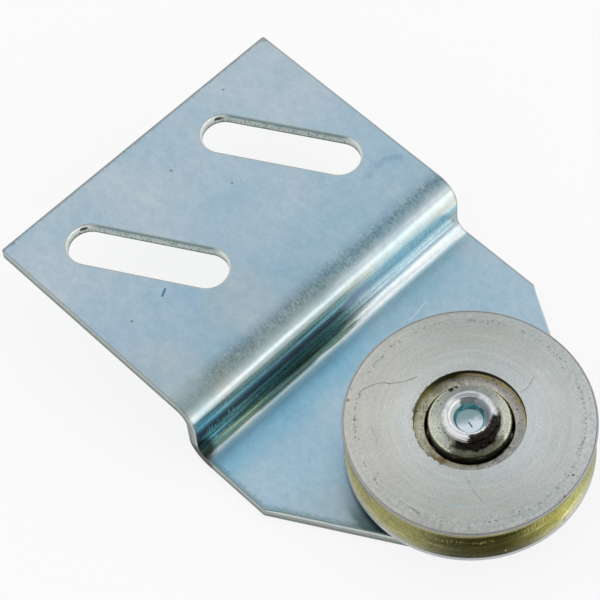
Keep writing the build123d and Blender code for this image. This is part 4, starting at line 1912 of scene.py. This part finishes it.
@dataclass(frozen=True)
class Studio:
    """The pale floor, the white surroundings and the soft lamps."""

    floor_span: float = 6000.0
    floor_gap: float = 0.02
    floor_grey: float = 0.86
    floor_white: tuple[float, float] = (0.85, 0.6)  # white's share, seen directly and in the metal
    level: float = 1.0
    lobes: tuple[tuple[Triple, float, float, float], ...] = (  # toward, inner and outer angle, change
        ((0.30, -0.93, 0.20), 22.0, 48.0, 0.45),  # the bright front
        ((-0.28, -0.44, 0.85), 17.0, 39.0, -0.88),  # the dim side where the viewer stands
    )
    lamp_place: Triple = (0.4, -0.95, 0.5)  # metres
    lamp_target: Triple = (0.0, 0.03, 0.0)  # metres
    lamp_size: tuple[float, float] = (0.9, 0.5)  # metres
    lamp_power: float = 1.0  # watts

    def build(self) -> None:
        """Sets up the floor, the world and the lamps."""
        self.floor()
        self.world()
        self.lamp()
        bpy.context.scene.view_settings.view_transform = "Standard"

    def floor(self) -> None:
        """A plain pale floor that keeps the object's shadow and is white elsewhere."""
        half = self.floor_span / 2 * MM
        mesh = bpy.data.meshes.new("floor")
        level = -self.floor_gap * MM
        corners = [(-half, -half, level), (half, -half, level), (half, half, level), (-half, half, level)]
        mesh.from_pydata(corners, [], [(0, 1, 2, 3)])
        floor = bpy.data.objects.new("floor", mesh)
        bpy.context.scene.collection.objects.link(floor)
        material = bpy.data.materials.new("floor")
        material.use_nodes = True
        graph = Graph(material.node_tree)
        plain = graph.node("ShaderNodeBsdfDiffuse", inputs={"Color": (self.floor_grey,) * 3})
        white = graph.node("ShaderNodeEmission", inputs={"Color": WHITE, "Strength": 1.0})
        camera = graph.node("ShaderNodeLightPath", output="Is Camera Ray")
        glossy = graph.node("ShaderNodeLightPath", output="Is Glossy Ray")
        seen, mirrored = self.floor_white
        share = (camera * seen + glossy * mirrored).clamped()
        shader = graph.node("ShaderNodeMixShader", inputs={0: share, 1: plain, 2: white})
        graph.node("ShaderNodeOutputMaterial", inputs={"Surface": shader})
        mesh.materials.append(material)

    def world(self) -> None:
        """White surroundings that shade from a bright front to a dimmer patch overhead."""
        world = bpy.data.worlds.new("studio")
        world.use_nodes = True
        bpy.context.scene.world = world
        graph = Graph(world.node_tree)
        toward = graph.node("ShaderNodeTexCoord", output="Generated")

        def lobe(axis: Triple, inner: float, outer: float) -> Wire:
            """1 within an angle of a direction, fading to 0 at a wider angle, in degrees."""
            unit = tuple(Vector(axis).normalized())
            nearness = graph.vector("DOT_PRODUCT", toward, unit, output=1)
            return nearness.rise(math.cos(math.radians(outer)), math.cos(math.radians(inner)))

        light = self.level
        for axis, inner, outer, change in self.lobes:
            light = light + lobe(axis, inner, outer) * change
        seen = graph.node("ShaderNodeLightPath", output="Is Camera Ray")
        strength = seen + (1.0 - seen) * light
        sky = graph.node("ShaderNodeBackground", inputs={"Color": WHITE, "Strength": strength})
        graph.node("ShaderNodeOutputWorld", inputs={"Surface": sky})

    def lamp(self) -> None:
        """A soft lamp over the front."""
        data = bpy.data.lights.new("front_softbox", "AREA")
        data.shape = "RECTANGLE"
        data.size, data.size_y = self.lamp_size
        data.energy = self.lamp_power
        lamp = bpy.data.objects.new("front_softbox", data)
        place = Vector(self.lamp_place)
        aim = (place - Vector(self.lamp_target)).to_track_quat("Z", "Y")
        lamp.matrix_world = Matrix.LocRotScale(place, aim, None)
        lamp.visible_camera = False
        bpy.context.scene.collection.objects.link(lamp)


def main() -> None:
    """Builds the roller, the studio and the camera."""
    Viewpoint().place_camera()
    for part in (MountingPlate(), RunningWheel(), AxleBearing()):
        part.build()
    Studio().build()


if __name__ == "__main__":
    main()
